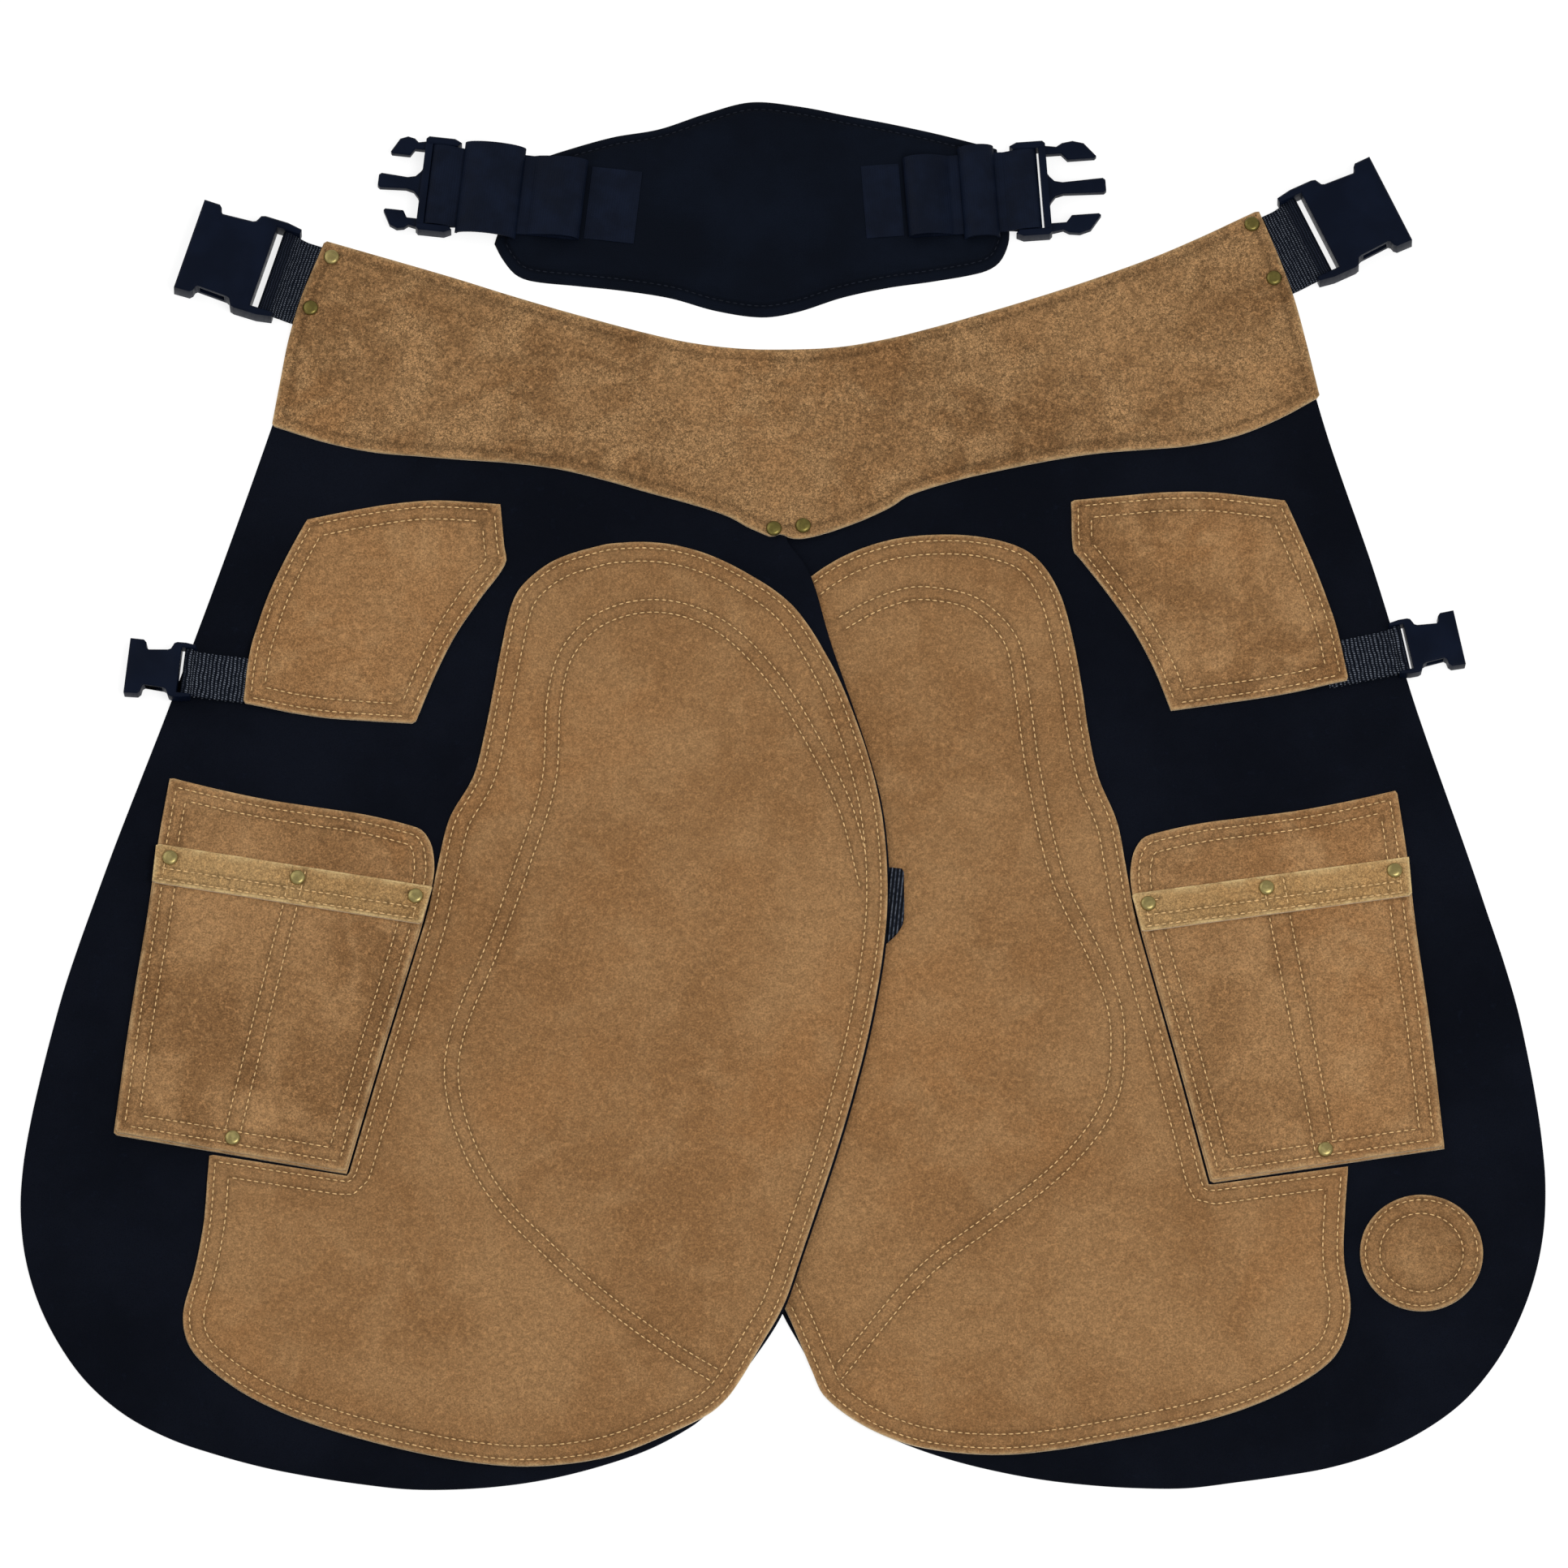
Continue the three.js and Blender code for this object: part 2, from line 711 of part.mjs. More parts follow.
function pocketSidePoint(side, row, inset = 0) {
  const across = row.across * pocketMouthWidth - Math.sign(row.across) * inset;
  const down = row.down * pocketHeight - (row.down > 0.5 ? inset : 0);
  return pocketPoint(side, across, down);
}

// Leg panel outline: outer edge, hem, inner edge, and the hidden top under the yoke
function legOutline(side) {
  const inward = side === 'left' ? 1 : -1;
  const strap = waistStrapPlace[side];
  const strapAt = place(strap);
  const away = THREE.MathUtils.degToRad(strap.turn);
  const [c, s] = [Math.cos(away), Math.sin(away)];
  const clear = waistBuckle.webWidth / 2 + 5;
  const beside = (along, across) => new THREE.Vector2(
    strapAt.x + along * c - inward * across * s, strapAt.y + along * s + inward * across * c);
  const outer = outerEdge.map((row) => ({ at: place({ across: row[side], down: row.down }) }));
  const hem = hemEdge[side].map((row) => ({ at: place(row) }));
  const inner = innerEdge.map((row) => ({
    at: place({ across: inward * row.across, down: row.down }),
  }));
  const notchAt = { across: -inward * 0.0014, down: 0.259 };
  const waistAt = { across: -inward * 0.0014, down: 0.124 };
  const tuckEnd = beside(-waistTuck - 6, clear);
  const top = [
    { at: place(notchAt), corner: true },
    { at: place(waistAt), corner: true },
    { at: place({ across: -inward * 0.306, down: 0.094 }) },
    { at: beside(-waistTuck - 12, -10), corner: true },
    { at: tuckEnd, corner: true },
    { at: beside(-6, clear), corner: true },
  ];
  return smoothLoop([...outer, ...hem, ...inner, ...top]);
}

function makeLegPanels() {
  for (const side of ['left', 'right']) {
    const lift = side === 'left' ? crossingLift : flat;
    const loop = thinLoop(legOutline(side), side === 'left' ? climbSpacing : openSpacing);
    const inner = side === 'left' ? climbGrid(loop) : [];
    const geometry = sheetGeometry(loop, inner, inner,
      (x, y) => lift(x, y), (x, y) => panelThickness + lift(x, y));
    addMesh(`leg_panel_${side}`, geometry, materials.leather);
  }
}

// Knee pad outline: up the outer side, over the top, down the inner edge, round the lobe and
// along the pocket's base and inner side
function padOutline(side) {
  const inward = side === 'left' ? 1 : -1;
  const top = padTop[side].map((row) => ({ at: place(row) }));
  const inner = innerEdge.slice(0, 9).reverse().map((row) => {
    const at = place({ across: inward * row.across, down: row.down });
    at.x -= inward * sideClearance;
    return { at };
  });
  const lobe = padLobe[side].map((row) => ({ at: place(row) }));
  const edge = (across, down) => {
    const row = { across, down };
    return { at: pocketSidePoint(side, row, -sideClearance), corner: false };
  };
  const notch = [
    { ...edge(-0.11, 1.0), corner: true },
    { ...edge(0.380, 1.0), corner: true },
    edge(0.427, 0.60),
    edge(0.484, 0.16),
    edge(0.500, 0.0),
    { at: pocketPoint(side, 0.5 * pocketMouthWidth + sideClearance, -0.4 * pocketBackRise) },
  ];
  return smoothLoop([...top, ...inner, ...lobe, ...notch]);
}

function makeKneePads() {
  for (const side of ['left', 'right']) {
    const lift = side === 'left' ? crossingLift : flat;
    const loop = thinLoop(padOutline(side), side === 'left' ? climbSpacing : openSpacing);
    const seamLine = new THREE.SplineCurve(padSeam[side].map(place)).getSpacedPoints(22);
    const ring = ringPoints(loop, padEdgeWidth, 14);
    const seam = [-1, 0, 1].flatMap((shift) => offsetLine(seamLine, shift * seamGrooveWidth))
      .filter((p) => distanceToLine(loop, p.x, p.y, true) > padEdgeWidth * 0.8);
    const clearSeam = seam.filter((p) => ring.every((q) => Math.hypot(q.x - p.x, q.y - p.y) > 5));
    const relief = [...ring, ...clearSeam];
    const bottomInner = side === 'left' ? climbGrid(loop) : [];
    const topInner = side === 'left' ? [...relief, ...climbGrid(loop, relief)] : relief;
    const bottomZ = (x, y) => overlayZ + lift(x, y);
    const topZ = (x, y) => {
      const fromEdge = smooth(distanceToLine(loop, x, y, true) / padEdgeWidth);
      const fromSeam = smooth(distanceToLine(seamLine, x, y, false) / seamGrooveWidth);
      return bottomZ(x, y) + suedeThickness + padPuff * fromEdge * (0.25 + 0.75 * fromSeam);
    };
    addMesh(`knee_pad_${side}`,
      sheetGeometry(loop, bottomInner, topInner, bottomZ, topZ), materials.suede);
  }
}

function offsetLine(line, distance) {
  return line.map((p, i) => {
    const before = line[Math.max(i - 1, 0)];
    const after = line[Math.min(i + 1, line.length - 1)];
    const length = Math.hypot(after.x - before.x, after.y - before.y);
    return {
      x: p.x - (distance * (after.y - before.y)) / length,
      y: p.y + (distance * (after.x - before.x)) / length,
    };
  });
}

function makeYoke() {
  const points = [...yokeTop, ...yokeBottom];
  const outline = smoothLoop(points.map((row) => ({ at: place(row), corner: row.corner })));
  const rises = (x, y) => yokeLift(x, y) > 0.02 || yokeLift(x - fineX, y) > 0.02;
  const loop = thinLoop(outline, (x, y) => (rises(x, y) ? fineX : edgeStep));
  const fine = gridPoints(loop, fineX, fineX, rises, []);
  const bottomZ = (x, y) => overlayZ + yokeLift(x, y);
  const topZ = (x, y) => bottomZ(x, y) + suedeThickness;
  addMesh('waist_yoke', sheetGeometry(loop, fine, fine, bottomZ, topZ), materials.suede);
}

// Strap patch, raised over the end of the leg strap that it holds
function makeStrapPatches() {
  for (const side of ['left', 'right']) {
    const spot = legStrapPlace[side];
    const strapAt = place(spot);
    const turn = THREE.MathUtils.degToRad(spot.turn);
    const bump = (x, y) => {
      const [dx, dy] = [x - strapAt.x, y - strapAt.y];
      const along = dx * Math.cos(turn) + dy * Math.sin(turn);
      const across = Math.abs(-dx * Math.sin(turn) + dy * Math.cos(turn));
      const inwardPast = Math.max(-along - legTuck - 3, 0);
      const sidePast = Math.max(across - legBuckle.webWidth / 2 - 3, 0);
      const past = Math.hypot(inwardPast, sidePast);
      return (legWebThickness + gap) * (1 - smooth(past / 15));
    };
    const raised = (x, y) => bump(x, y) > 0.02;
    const rows = patchEdge[side].map((row) => ({ at: place(row), corner: row.corner }));
    const loop = thinLoop(smoothLoop(rows), (x, y) => (raised(x, y) ? 7 : 24));
    const fine = gridPoints(loop, 7, 7, raised, []);
    const bottomZ = (x, y) => overlayZ + bump(x, y);
    const topZ = (x, y) => bottomZ(x, y) + suedeThickness;
    addMesh(`strap_patch_${side}`, sheetGeometry(loop, fine, fine, bottomZ, topZ),
      materials.suede);
  }
}

function makePockets() {
  const backTop = overlayZ + suedeThickness;
  for (const side of ['left', 'right']) {
    const sides = pocketSides.map((row) => ({
      at: pocketSidePoint(side, row), corner: row.corner,
    }));
    const rise = pocketRise.map((row) => ({
      at: pocketPoint(side, row.across * pocketMouthWidth, -row.up * pocketBackRise),
      corner: row.corner,
    }));
    const backLoop = thinLoop(smoothLoop([...sides, ...rise]), openSpacing);
    addMesh(`pocket_back_${side}`,
      sheetGeometry(backLoop, [], [], () => overlayZ, () => backTop), materials.suede);

    const inset = 0.8;
    const frontRows = pocketSides.map((row) => ({
      at: pocketSidePoint(side, row, inset),
      corner: row.corner || row.down === 0,
    }));
    const frontLoop = thinLoop(smoothLoop(frontRows), openSpacing);
    // The front stays flat under the band and puffs out below it
    const flatDepth = bandHeight + 2;
    const bandRow = [-0.42, -0.28, -0.14, 0, 0.14, 0.28, 0.42]
      .map((share) => pocketPoint(side, share * pocketMouthWidth, flatDepth));
    const ring = ringPoints(frontLoop, pocketSeamEdge, 16)
      .filter((p) => Math.abs(pocketDepth(side, p.x, p.y) - flatDepth) > 8);
    const known = [...bandRow, ...ring];
    const inner = [...known, ...gridPoints(frontLoop, pocketStep, pocketStep,
      (x, y) => Math.abs(pocketDepth(side, x, y) - flatDepth) > 12, known)];
    const puff = (x, y) => {
      const pastBand = smooth((pocketDepth(side, x, y) - flatDepth) / 16);
      const fromEdge = smooth((distanceToLine(frontLoop, x, y, true) - pocketSeamEdge) / 16);
      return pocketFrontPuff * Math.min(fromEdge, pastBand);
    };
    const frontBottom = (x, y) => backTop + gap + puff(x, y);
    const frontTop = (x, y) => frontBottom(x, y) + suedeThickness;
    addMesh(`pocket_front_${side}`,
      sheetGeometry(frontLoop, inner, inner, frontBottom, frontTop), materials.suede);

    const bandZ = backTop + gap + suedeThickness + gap;
    const half = 0.5 * pocketMouthWidth + bandOverhang;
    const lowHalf = 0.484 * pocketMouthWidth + bandOverhang;
    const bandRows = [
      { at: pocketPoint(side, -half, -bandOverhang), corner: true },
      { at: pocketPoint(side, half, -bandOverhang), corner: true },
      { at: pocketPoint(side, lowHalf, bandHeight), corner: true },
      { at: pocketPoint(side, -lowHalf - 1, bandHeight), corner: true },
    ];
    const bandLoop = thinLoop(smoothLoop(bandRows), openSpacing);
    addMesh(`pocket_band_${side}`,
      sheetGeometry(bandLoop, [], [], () => bandZ, () => bandZ + suedeThickness),
      materials.suedeBand);

    for (const rivet of pocketRivets) {
      const down = rivet.onBand ? bandHeight * 0.3 : rivet.down * pocketHeight;
      const at = pocketPoint(side, rivet.across * pocketMouthWidth, down);
      const seat = rivet.onBand ? bandZ + suedeThickness : frontTop(at.x, at.y);
      addRivet(`pocket_rivet_${side}_${rivet.name}`, at, seat + gap);
    }
  }
}

// Distance of a point below the pocket's mouth
function pocketDepth(side, x, y) {
  const origin = pocketPoint(side, 0, 0);
  const down = pocketPoint(side, 0, 1).sub(origin);
  return (x - origin.x) * down.x + (y - origin.y) * down.y;
}

function addRivet(name, at, seatZ) {
  const r = rivetDiameter / 2;
  const profile = [
    new THREE.Vector2(0, 0),
    new THREE.Vector2(r * 0.94, 0),
    new THREE.Vector2(r, rivetHeight * 0.3),
    new THREE.Vector2(r * 0.72, rivetHeight * 0.82),
    new THREE.Vector2(0, rivetHeight),
  ];
  const geometry = new THREE.LatheGeometry(profile, 14);
  geometry.rotateX(Math.PI / 2);
  const mesh = addMesh(name, geometry, materials.brass);
  mesh.position.set(at.x, at.y, seatZ);
}

function makeYokeRivets() {
  for (const rivet of yokeRivets) {
    const at = place(rivet);
    let seat = 0;
    for (let step = 0; step < 8; step += 1) {
      const angle = (step * Math.PI) / 4;
      const x = at.x + (rivetDiameter / 2) * Math.cos(angle);
      const y = at.y + (rivetDiameter / 2) * Math.sin(angle);
      seat = Math.max(seat, yokeLift(x, y));
    }
    addRivet(`yoke_rivet_${rivet.name}`, at, overlayZ + seat + suedeThickness + gap);
  }
}

function makePouch() {
  const r = pouchDiameter / 2;
  const profile = [
    new THREE.Vector2(0, 0),
    new THREE.Vector2(r - 0.6, 0),
    new THREE.Vector2(r, suedeThickness / 2),
    new THREE.Vector2(r - 0.8, suedeThickness),
    new THREE.Vector2(r * 0.9, suedeThickness + 0.2),
    new THREE.Vector2(r * 0.72, pouchHeight * 0.75),
    new THREE.Vector2(r * 0.6, pouchHeight * 0.92),
    new THREE.Vector2(0, pouchHeight),
  ];
  const geometry = new THREE.LatheGeometry(profile, 36);
  geometry.rotateX(Math.PI / 2);
  const mesh = addMesh('magnet_pouch', geometry, materials.suede);
  const at = place(pouchPlace);
  mesh.position.set(at.x, at.y, overlayZ);
}

// Elastic loop: sewn under the left leg's inner edge, its free part lies on the right pad
function makeElasticLoop() {
  const top = place({ across: 0.137, down: 0.518 });
  const z = padTopZ + gap;
  const shape = new THREE.Shape();
  shape.moveTo(-elasticTuck, 0);
  shape.lineTo(elasticReach, -2);
  shape.lineTo(elasticReach, -elasticWidth);
  shape.quadraticCurveTo(elasticReach * 0.6, -elasticWidth * 1.35, -elasticTuck, -elasticWidth * 1.5);
  shape.closePath();
  const geometry = new THREE.ExtrudeGeometry(shape, {
    depth: elasticThickness, bevelEnabled: false, curveSegments: 6,
  });
  const mesh = addMesh('elastic_loop', geometry, materials.webbing);
  mesh.position.set(top.x, top.y, z);
}

function toSolid(wasm, geometry) {
  const bare = geometry.clone();
  bare.deleteAttribute('normal');
  bare.deleteAttribute('uv');
  const merged = mergeVertices(bare, 1e-4);
  return new wasm.Manifold(new wasm.Mesh({
    numProp: 3,
    vertProperties: new Float32Array(merged.attributes.position.array),
    triVerts: new Uint32Array(merged.index.array),
  }));
}

function toGeometry(solid) {
  const mesh = solid.getMesh();
  const geometry = new THREE.BufferGeometry();
  geometry.setAttribute('position', new THREE.BufferAttribute(mesh.vertProperties, 3));
  geometry.setIndex(new THREE.BufferAttribute(mesh.triVerts, 1));
  geometry.computeVertexNormals();
  return geometry;
}

function boxAt(sizeX, sizeY, sizeZ, x, y, z) {
  return new THREE.BoxGeometry(sizeX, sizeY, sizeZ).translate(x, y, z);
}

function barAt(radius, length, x, z) {
  return new THREE.CylinderGeometry(radius, radius, length, 12).translate(x, 0, z);
}

// Plan shape extruded to the height, with a small chamfer round its edge
function plateGeometry(points, height, chamfer) {
  const shape = new THREE.Shape(points.map(([x, y]) => new THREE.Vector2(x, y)));
  const geometry = new THREE.ExtrudeGeometry(shape, {
    depth: height - 2 * chamfer,
    bevelEnabled: true,
    bevelThickness: chamfer,
    bevelSize: chamfer,
    bevelOffset: -chamfer,
    bevelSegments: 1,
  });
  return geometry.translate(0, 0, chamfer);
}

// Female side-release buckle: x runs from the bar end to the mouth, z from its underside
function femaleBuckleGeometry(wasm, size, webThickness) {
  const half = buckleHalfWidth(size);
  const waist = half - size.notchDepth;
  const wrap = size.barRadius + webClearance + webThickness / 2;
  const rear = size.barFromEnd + wrap + size.slit;
  const railIn = half - size.rail;
  const notchEnd = size.length - size.mouthLength;
  const notchStart = notchEnd - size.notchLength;
  const shoulder = notchStart - size.shoulderRun;
  const corner = size.height * 0.22;
  const lip = half - size.lipSetBack;
  const side = [
    [0, railIn],
    [0, half - size.rail * 0.35],
    [size.rail * 0.7, half - size.rail * 0.22],
    [size.rail * 2, half],
    [shoulder - corner * 0.5, half],
    [shoulder + size.shoulderRun * 0.25, half - size.notchDepth * 0.12],
    [notchStart - size.shoulderRun * 0.2, waist + size.notchDepth * 0.28],
    [notchStart + size.shoulderRun * 0.3, waist + size.notchDepth * 0.16],
    [notchEnd - 1.3, waist],
    [notchEnd - 0.2, waist + 1],
    [notchEnd + 0.3, lip - 1.8],
    [notchEnd + 1.9, lip - 0.2],
    [size.length, lip],
  ];
  const mirror = side.map(([x, y]) => [x, -y]);
  const outline = [...mirror, ...[...side].reverse(), [rear, railIn], [rear, -railIn]];
  const body = toSolid(wasm, plateGeometry(outline, size.height, size.height * 0.07));
  const mid = size.height / 2;
  const cavityLength = size.cavityDepth + 10;
  const cavity = boxAt(cavityLength, size.cavityWidth, size.cavityHeight,
    size.length - size.cavityDepth + cavityLength / 2, 0, mid);
  const windowLength = size.notchLength * 0.75;
  const sideWindow = boxAt(windowLength, 2 * half + 10, size.cavityHeight * 0.8,
    notchEnd - size.notchLength / 2, 0, mid);
  const barZ = wrapCentre(size);
  const bar = barAt(size.barRadius, 2 * half - size.rail, size.barFromEnd, barZ);
  return toGeometry(body.subtract(toSolid(wasm, cavity)).subtract(toSolid(wasm, sideWindow))
    .add(toSolid(wasm, bar)));
}

// The rails stand clear of the webbing on both sides
function buckleHalfWidth(size) {
  return size.webWidth / 2 + webClearance + size.rail;
}

// Height of a bar's centre above the underside of its buckle
function wrapCentre(size) {
  return size.height * 0.45;
}

// Webbing that comes from its tucked end, wraps a bar and returns, as one closed loop of cloth.
// x runs outward along the strap with the bar's centre at x = 0, z from the floor.
function wrapProfile(barRadius, thickness, barZ, path) {
  const inner = barRadius + webClearance;
  const outer = inner + thickness / 2;
  const shape = new THREE.Shape();
  const [firstX, firstLow] = path[0];
  shape.moveTo(firstX, firstLow);
  path.slice(1).forEach(([x, low]) => shape.lineTo(x, low));
  for (let step = 0; step <= 8; step += 1) {
    const angle = -Math.PI * 0.55 + (step * Math.PI * 1.15) / 8;
    shape.lineTo(outer * Math.cos(angle), barZ + outer * Math.sin(angle));
  }
  [...path].reverse().forEach(([x, low, high]) => shape.lineTo(x, high ?? low + thickness));
  shape.closePath();
  const hole = new THREE.Path();
  hole.absarc(0, barZ, inner, 0, Math.PI * 2, true);
  shape.holes.push(hole);
  return shape;
}

// Extrudes a side profile across the strap's width; the profile's y becomes z
function ribbonGeometry(shape, width) {
  const geometry = new THREE.ExtrudeGeometry(shape, {
    depth: width, bevelEnabled: false, curveSegments: 5,
  });
  geometry.translate(0, 0, -width / 2);
  geometry.rotateX(Math.PI / 2);
  return geometry;
}

function makeWaistStraps(wasm) {
  const barZ = wrapCentre(waistBuckle);
  for (const side of ['left', 'right']) {
    const at = place(waistStrapPlace[side]);
    const turn = THREE.MathUtils.degToRad(waistStrapPlace[side].turn);
    const group = new THREE.Group();
    group.position.set(at.x, at.y, 0);
    group.rotation.z = turn;
    apron.add(group);
    const reach = waistStrapReach;
    const path = [
      [-reach - waistTuck, gap],
      [-reach + 1, gap],
      [-reach * 0.55, gap + 0.2, gap + waistWebThickness + 1.4],
    ];
    const shape = wrapProfile(waistBuckle.barRadius, waistWebThickness, barZ, path);
    const strap = addMesh(`waist_strap_${side}`, ribbonGeometry(shape, waistBuckle.webWidth),
      materials.webbing);
    strap.position.x = reach;
    const buckle = addMesh(`waist_buckle_${side}`,
      femaleBuckleGeometry(wasm, waistBuckle, waistWebThickness), materials.plastic);
    buckle.position.x = reach - waistBuckle.barFromEnd;
    group.add(strap, buckle);
  }
}

function makeLegStraps(wasm) {
  const barZ = wrapCentre(legBuckle);
  for (const side of ['left', 'right']) {
    const at = place(legStrapPlace[side]);
    const turn = THREE.MathUtils.degToRad(legStrapPlace[side].turn);
    const group = new THREE.Group();
    group.position.set(at.x, at.y, 0);
    group.rotation.z = turn;
    apron.add(group);
    const reach = legStrapReach;
    const low = overlayZ;
    // The buckle leans on the panel's edge with its mouth on the floor
    const lean = Math.asin((overlayZ + gap) / legBuckle.length);
    const barHeight = overlayZ + gap + barZ;
    const path = [
      [-reach - legTuck, low],
      [-reach * 0.3, low, low + legWebThickness],
      [-4.5, low + 0.4, low + legWebThickness + 1.2],
    ];
    const shape = wrapProfile(legBuckle.barRadius, legWebThickness, barHeight, path);
    const strap = addMesh(`leg_strap_${side}`, ribbonGeometry(shape, legBuckle.webWidth),
      materials.webbing);
    strap.position.x = reach;
    const buckle = addMesh(`leg_buckle_${side}`,
      femaleBuckleGeometry(wasm, legBuckle, legWebThickness)
        .translate(-legBuckle.barFromEnd, 0, -barZ), materials.plastic);
    buckle.position.set(reach, 0, barHeight);
    buckle.rotation.y = lean;
    group.add(strap, buckle);
  }
}

function makeBelt() {
  const rows = beltEdgePoints.map((row) => ({ at: place(row), corner: row.corner }));
  const loop = thinLoop(smoothLoop(rows), openSpacing);
  const ring = ringPoints(loop, 9, 12);
  const topZ = (x, y) => beltEdge
    + (beltThickness - beltEdge) * smooth(distanceToLine(loop, x, y, true) / 9);
  addMesh('back_belt', sheetGeometry(loop, [], ring, flat, topZ), materials.belt);
}

// Male side-release buckle: x runs outward from its bar, arms beyond the front wall
function maleBuckleGeometry(wasm, reach) {
  const size = maleBuckle;
  const half = buckleHalfWidth(size);
  const frontX = size.length - size.barFromEnd;
  const mid = size.height / 2;
  const wall = boxAt(size.frontWall, 2 * half - size.rail, size.height - 2,
    frontX - size.frontWall / 2, 0, mid);
  let body = toSolid(wasm, wall);
  for (const sign of [-1, 1]) {
    const rail = [
      [-size.barFromEnd + 2, sign * (half - size.rail)],
      [-size.barFromEnd, sign * (half - size.rail / 2)],
      [-size.barFromEnd + 4, sign * half],
      [frontX - 1.5, sign * half],
      [frontX, sign * (half - 1.5)],
      [frontX, sign * (half - size.rail)],
    ];
    const railPoints = sign > 0 ? [...rail].reverse() : rail;
    body = body.add(toSolid(wasm, plateGeometry(railPoints, size.height, 0.8)));
    const armOut = half - size.rail * 0.1;
    const arm = [
      [frontX - 1, sign * (armOut - 7)],
      [frontX - 1, sign * (armOut - 1.6)],
      [frontX + reach.arm * 0.22, sign * (armOut - 2.8)],
      [frontX + reach.arm * 0.34, sign * (armOut - 0.8)],
      [frontX + reach.arm * 0.55, sign * armOut],
      [frontX + reach.arm * 0.77, sign * (armOut - 1.8)],
      [frontX + reach.arm, sign * (armOut - size.armWidth * 0.9)],
      [frontX + reach.arm * 0.96, sign * (armOut - size.armWidth)],
      [frontX + reach.arm * 0.42, sign * (armOut - size.armWidth)],
      [frontX + reach.arm * 0.30, sign * (armOut - size.armWidth * 0.64)],
    ];
    const armPoints = sign > 0 ? [...arm].reverse() : arm;
    const armPlate = plateGeometry(armPoints, size.armThickness, 0.8)
      .translate(0, 0, mid - size.armThickness / 2);
    body = body.add(toSolid(wasm, armPlate));
  }
  const guideSide = [
    [frontX - 1, size.guideWidth * 1.2],
    [frontX + 1.2, size.guideWidth * 0.8],
    [frontX + 3.6, size.guideWidth * 0.5],
    [frontX + 8, size.guideWidth * 0.38],
    [frontX + reach.guide - 1.4, size.guideWidth * 0.48],
    [frontX + reach.guide, size.guideWidth * 0.34],
  ];
  const guide = [...guideSide.map(([x, y]) => [x, -y]), ...guideSide.reverse()];
  const guidePlate = plateGeometry(guide, size.armThickness, 0.8)
    .translate(0, 0, mid - size.armThickness / 2);
  body = body.add(toSolid(wasm, guidePlate));
  return toGeometry(body.add(toSolid(wasm, barAt(size.barRadius, 2 * half - size.rail, 0, mid))));
}

function makeBeltHardware(wasm) {
  const barZ = maleBuckle.height / 2;
  const beltTop = beltThickness + gap;
  for (const side of ['left', 'right']) {
    const spot = beltHardware[side];
    const layout = beltLayout[side];
    const keeperFrom = maleBuckle.barFromEnd + layout.keeperGap;
    const keeperTo = keeperFrom + layout.keeper;
    const foldTo = keeperTo + layout.fold;
    const patchFrom = foldTo + layout.patchGap;
    const at = place(spot);
    const group = new THREE.Group();
    group.position.set(at.x, at.y, 0);
    group.rotation.z = THREE.MathUtils.degToRad(spot.turn);
    apron.add(group);
    const buckle = addMesh(`belt_buckle_${side}`, maleBuckleGeometry(wasm, maleReach[side]),
      materials.plastic);

    const web = beltWebThickness;
    const path = [
      [-foldTo, beltTop + 0.6, beltTop + 1.6],
      [-foldTo + 1.5, beltTop, beltTop + beltLoopHeight - 0.4],
      [-foldTo + 6, beltTop, beltTop + beltLoopHeight],
      [-keeperTo - 8, beltTop, beltTop + web + 1.2],
      [-keeperTo, beltTop, beltTop + web + 0.4],
      [-14, beltTop, beltTop + web],
      [-6, beltTop - 3.4, beltTop + web],
    ];
    const strap = addMesh(`belt_strap_${side}`,
      ribbonGeometry(wrapProfile(maleBuckle.barRadius, web * 2, barZ, path), maleBuckle.webWidth),
      materials.webbing);

    const keeperZ = beltTop + web + 0.4 + gap;
    const keeperShape = new THREE.Shape();
    const archPoint = (t, up) => new THREE.Vector2(
      -keeperTo + t * layout.keeper, keeperZ + up * Math.sin(Math.PI * t) ** 0.6);
    keeperShape.moveTo(-keeperTo, keeperZ);
    keeperShape.lineTo(-keeperFrom - 1, keeperZ);
    for (let step = 0; step <= 8; step += 1) {
      const p = archPoint(1 - step / 8, 3.2);
      keeperShape.lineTo(p.x, p.y + web * 0.6);
    }
    keeperShape.closePath();
    const keeper = addMesh(`belt_keeper_${side}`,
      ribbonGeometry(keeperShape, beltKeeperWidth), materials.webbing);

    const patch = addMesh(`belt_patch_${side}`,
      boxAt(layout.patch, beltPatchWidth, web,
        -patchFrom - layout.patch / 2, 0, beltTop + web / 2), materials.webbing);
    group.add(buckle, strap, keeper, patch);
  }
}

const wasm = await Module();
wasm.setup();

makeLegPanels();
makeKneePads();
makeYoke();
makeStrapPatches();
makePockets();
makeYokeRivets();
makePouch();
makeElasticLoop();
makeWaistStraps(wasm);
makeLegStraps(wasm);
makeBelt();
makeBeltHardware(wasm);

// The middle of the footprint is the origin, and the lowest point is the floor
const footprint = new THREE.Box3().setFromObject(apron);
const centre = footprint.getCenter(new THREE.Vector3());
apron.position.set(-centre.x, -centre.y, -footprint.min.z);

export default apron;
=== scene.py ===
import math

import bmesh
import bpy
import numpy as np
from bpy.props import FloatProperty, FloatVectorProperty, PointerProperty
from mathutils import Matrix, Vector
from mathutils.bvhtree import BVHTree
from mathutils.geometry import delaunay_2d_cdt
from mathutils.kdtree import KDTree


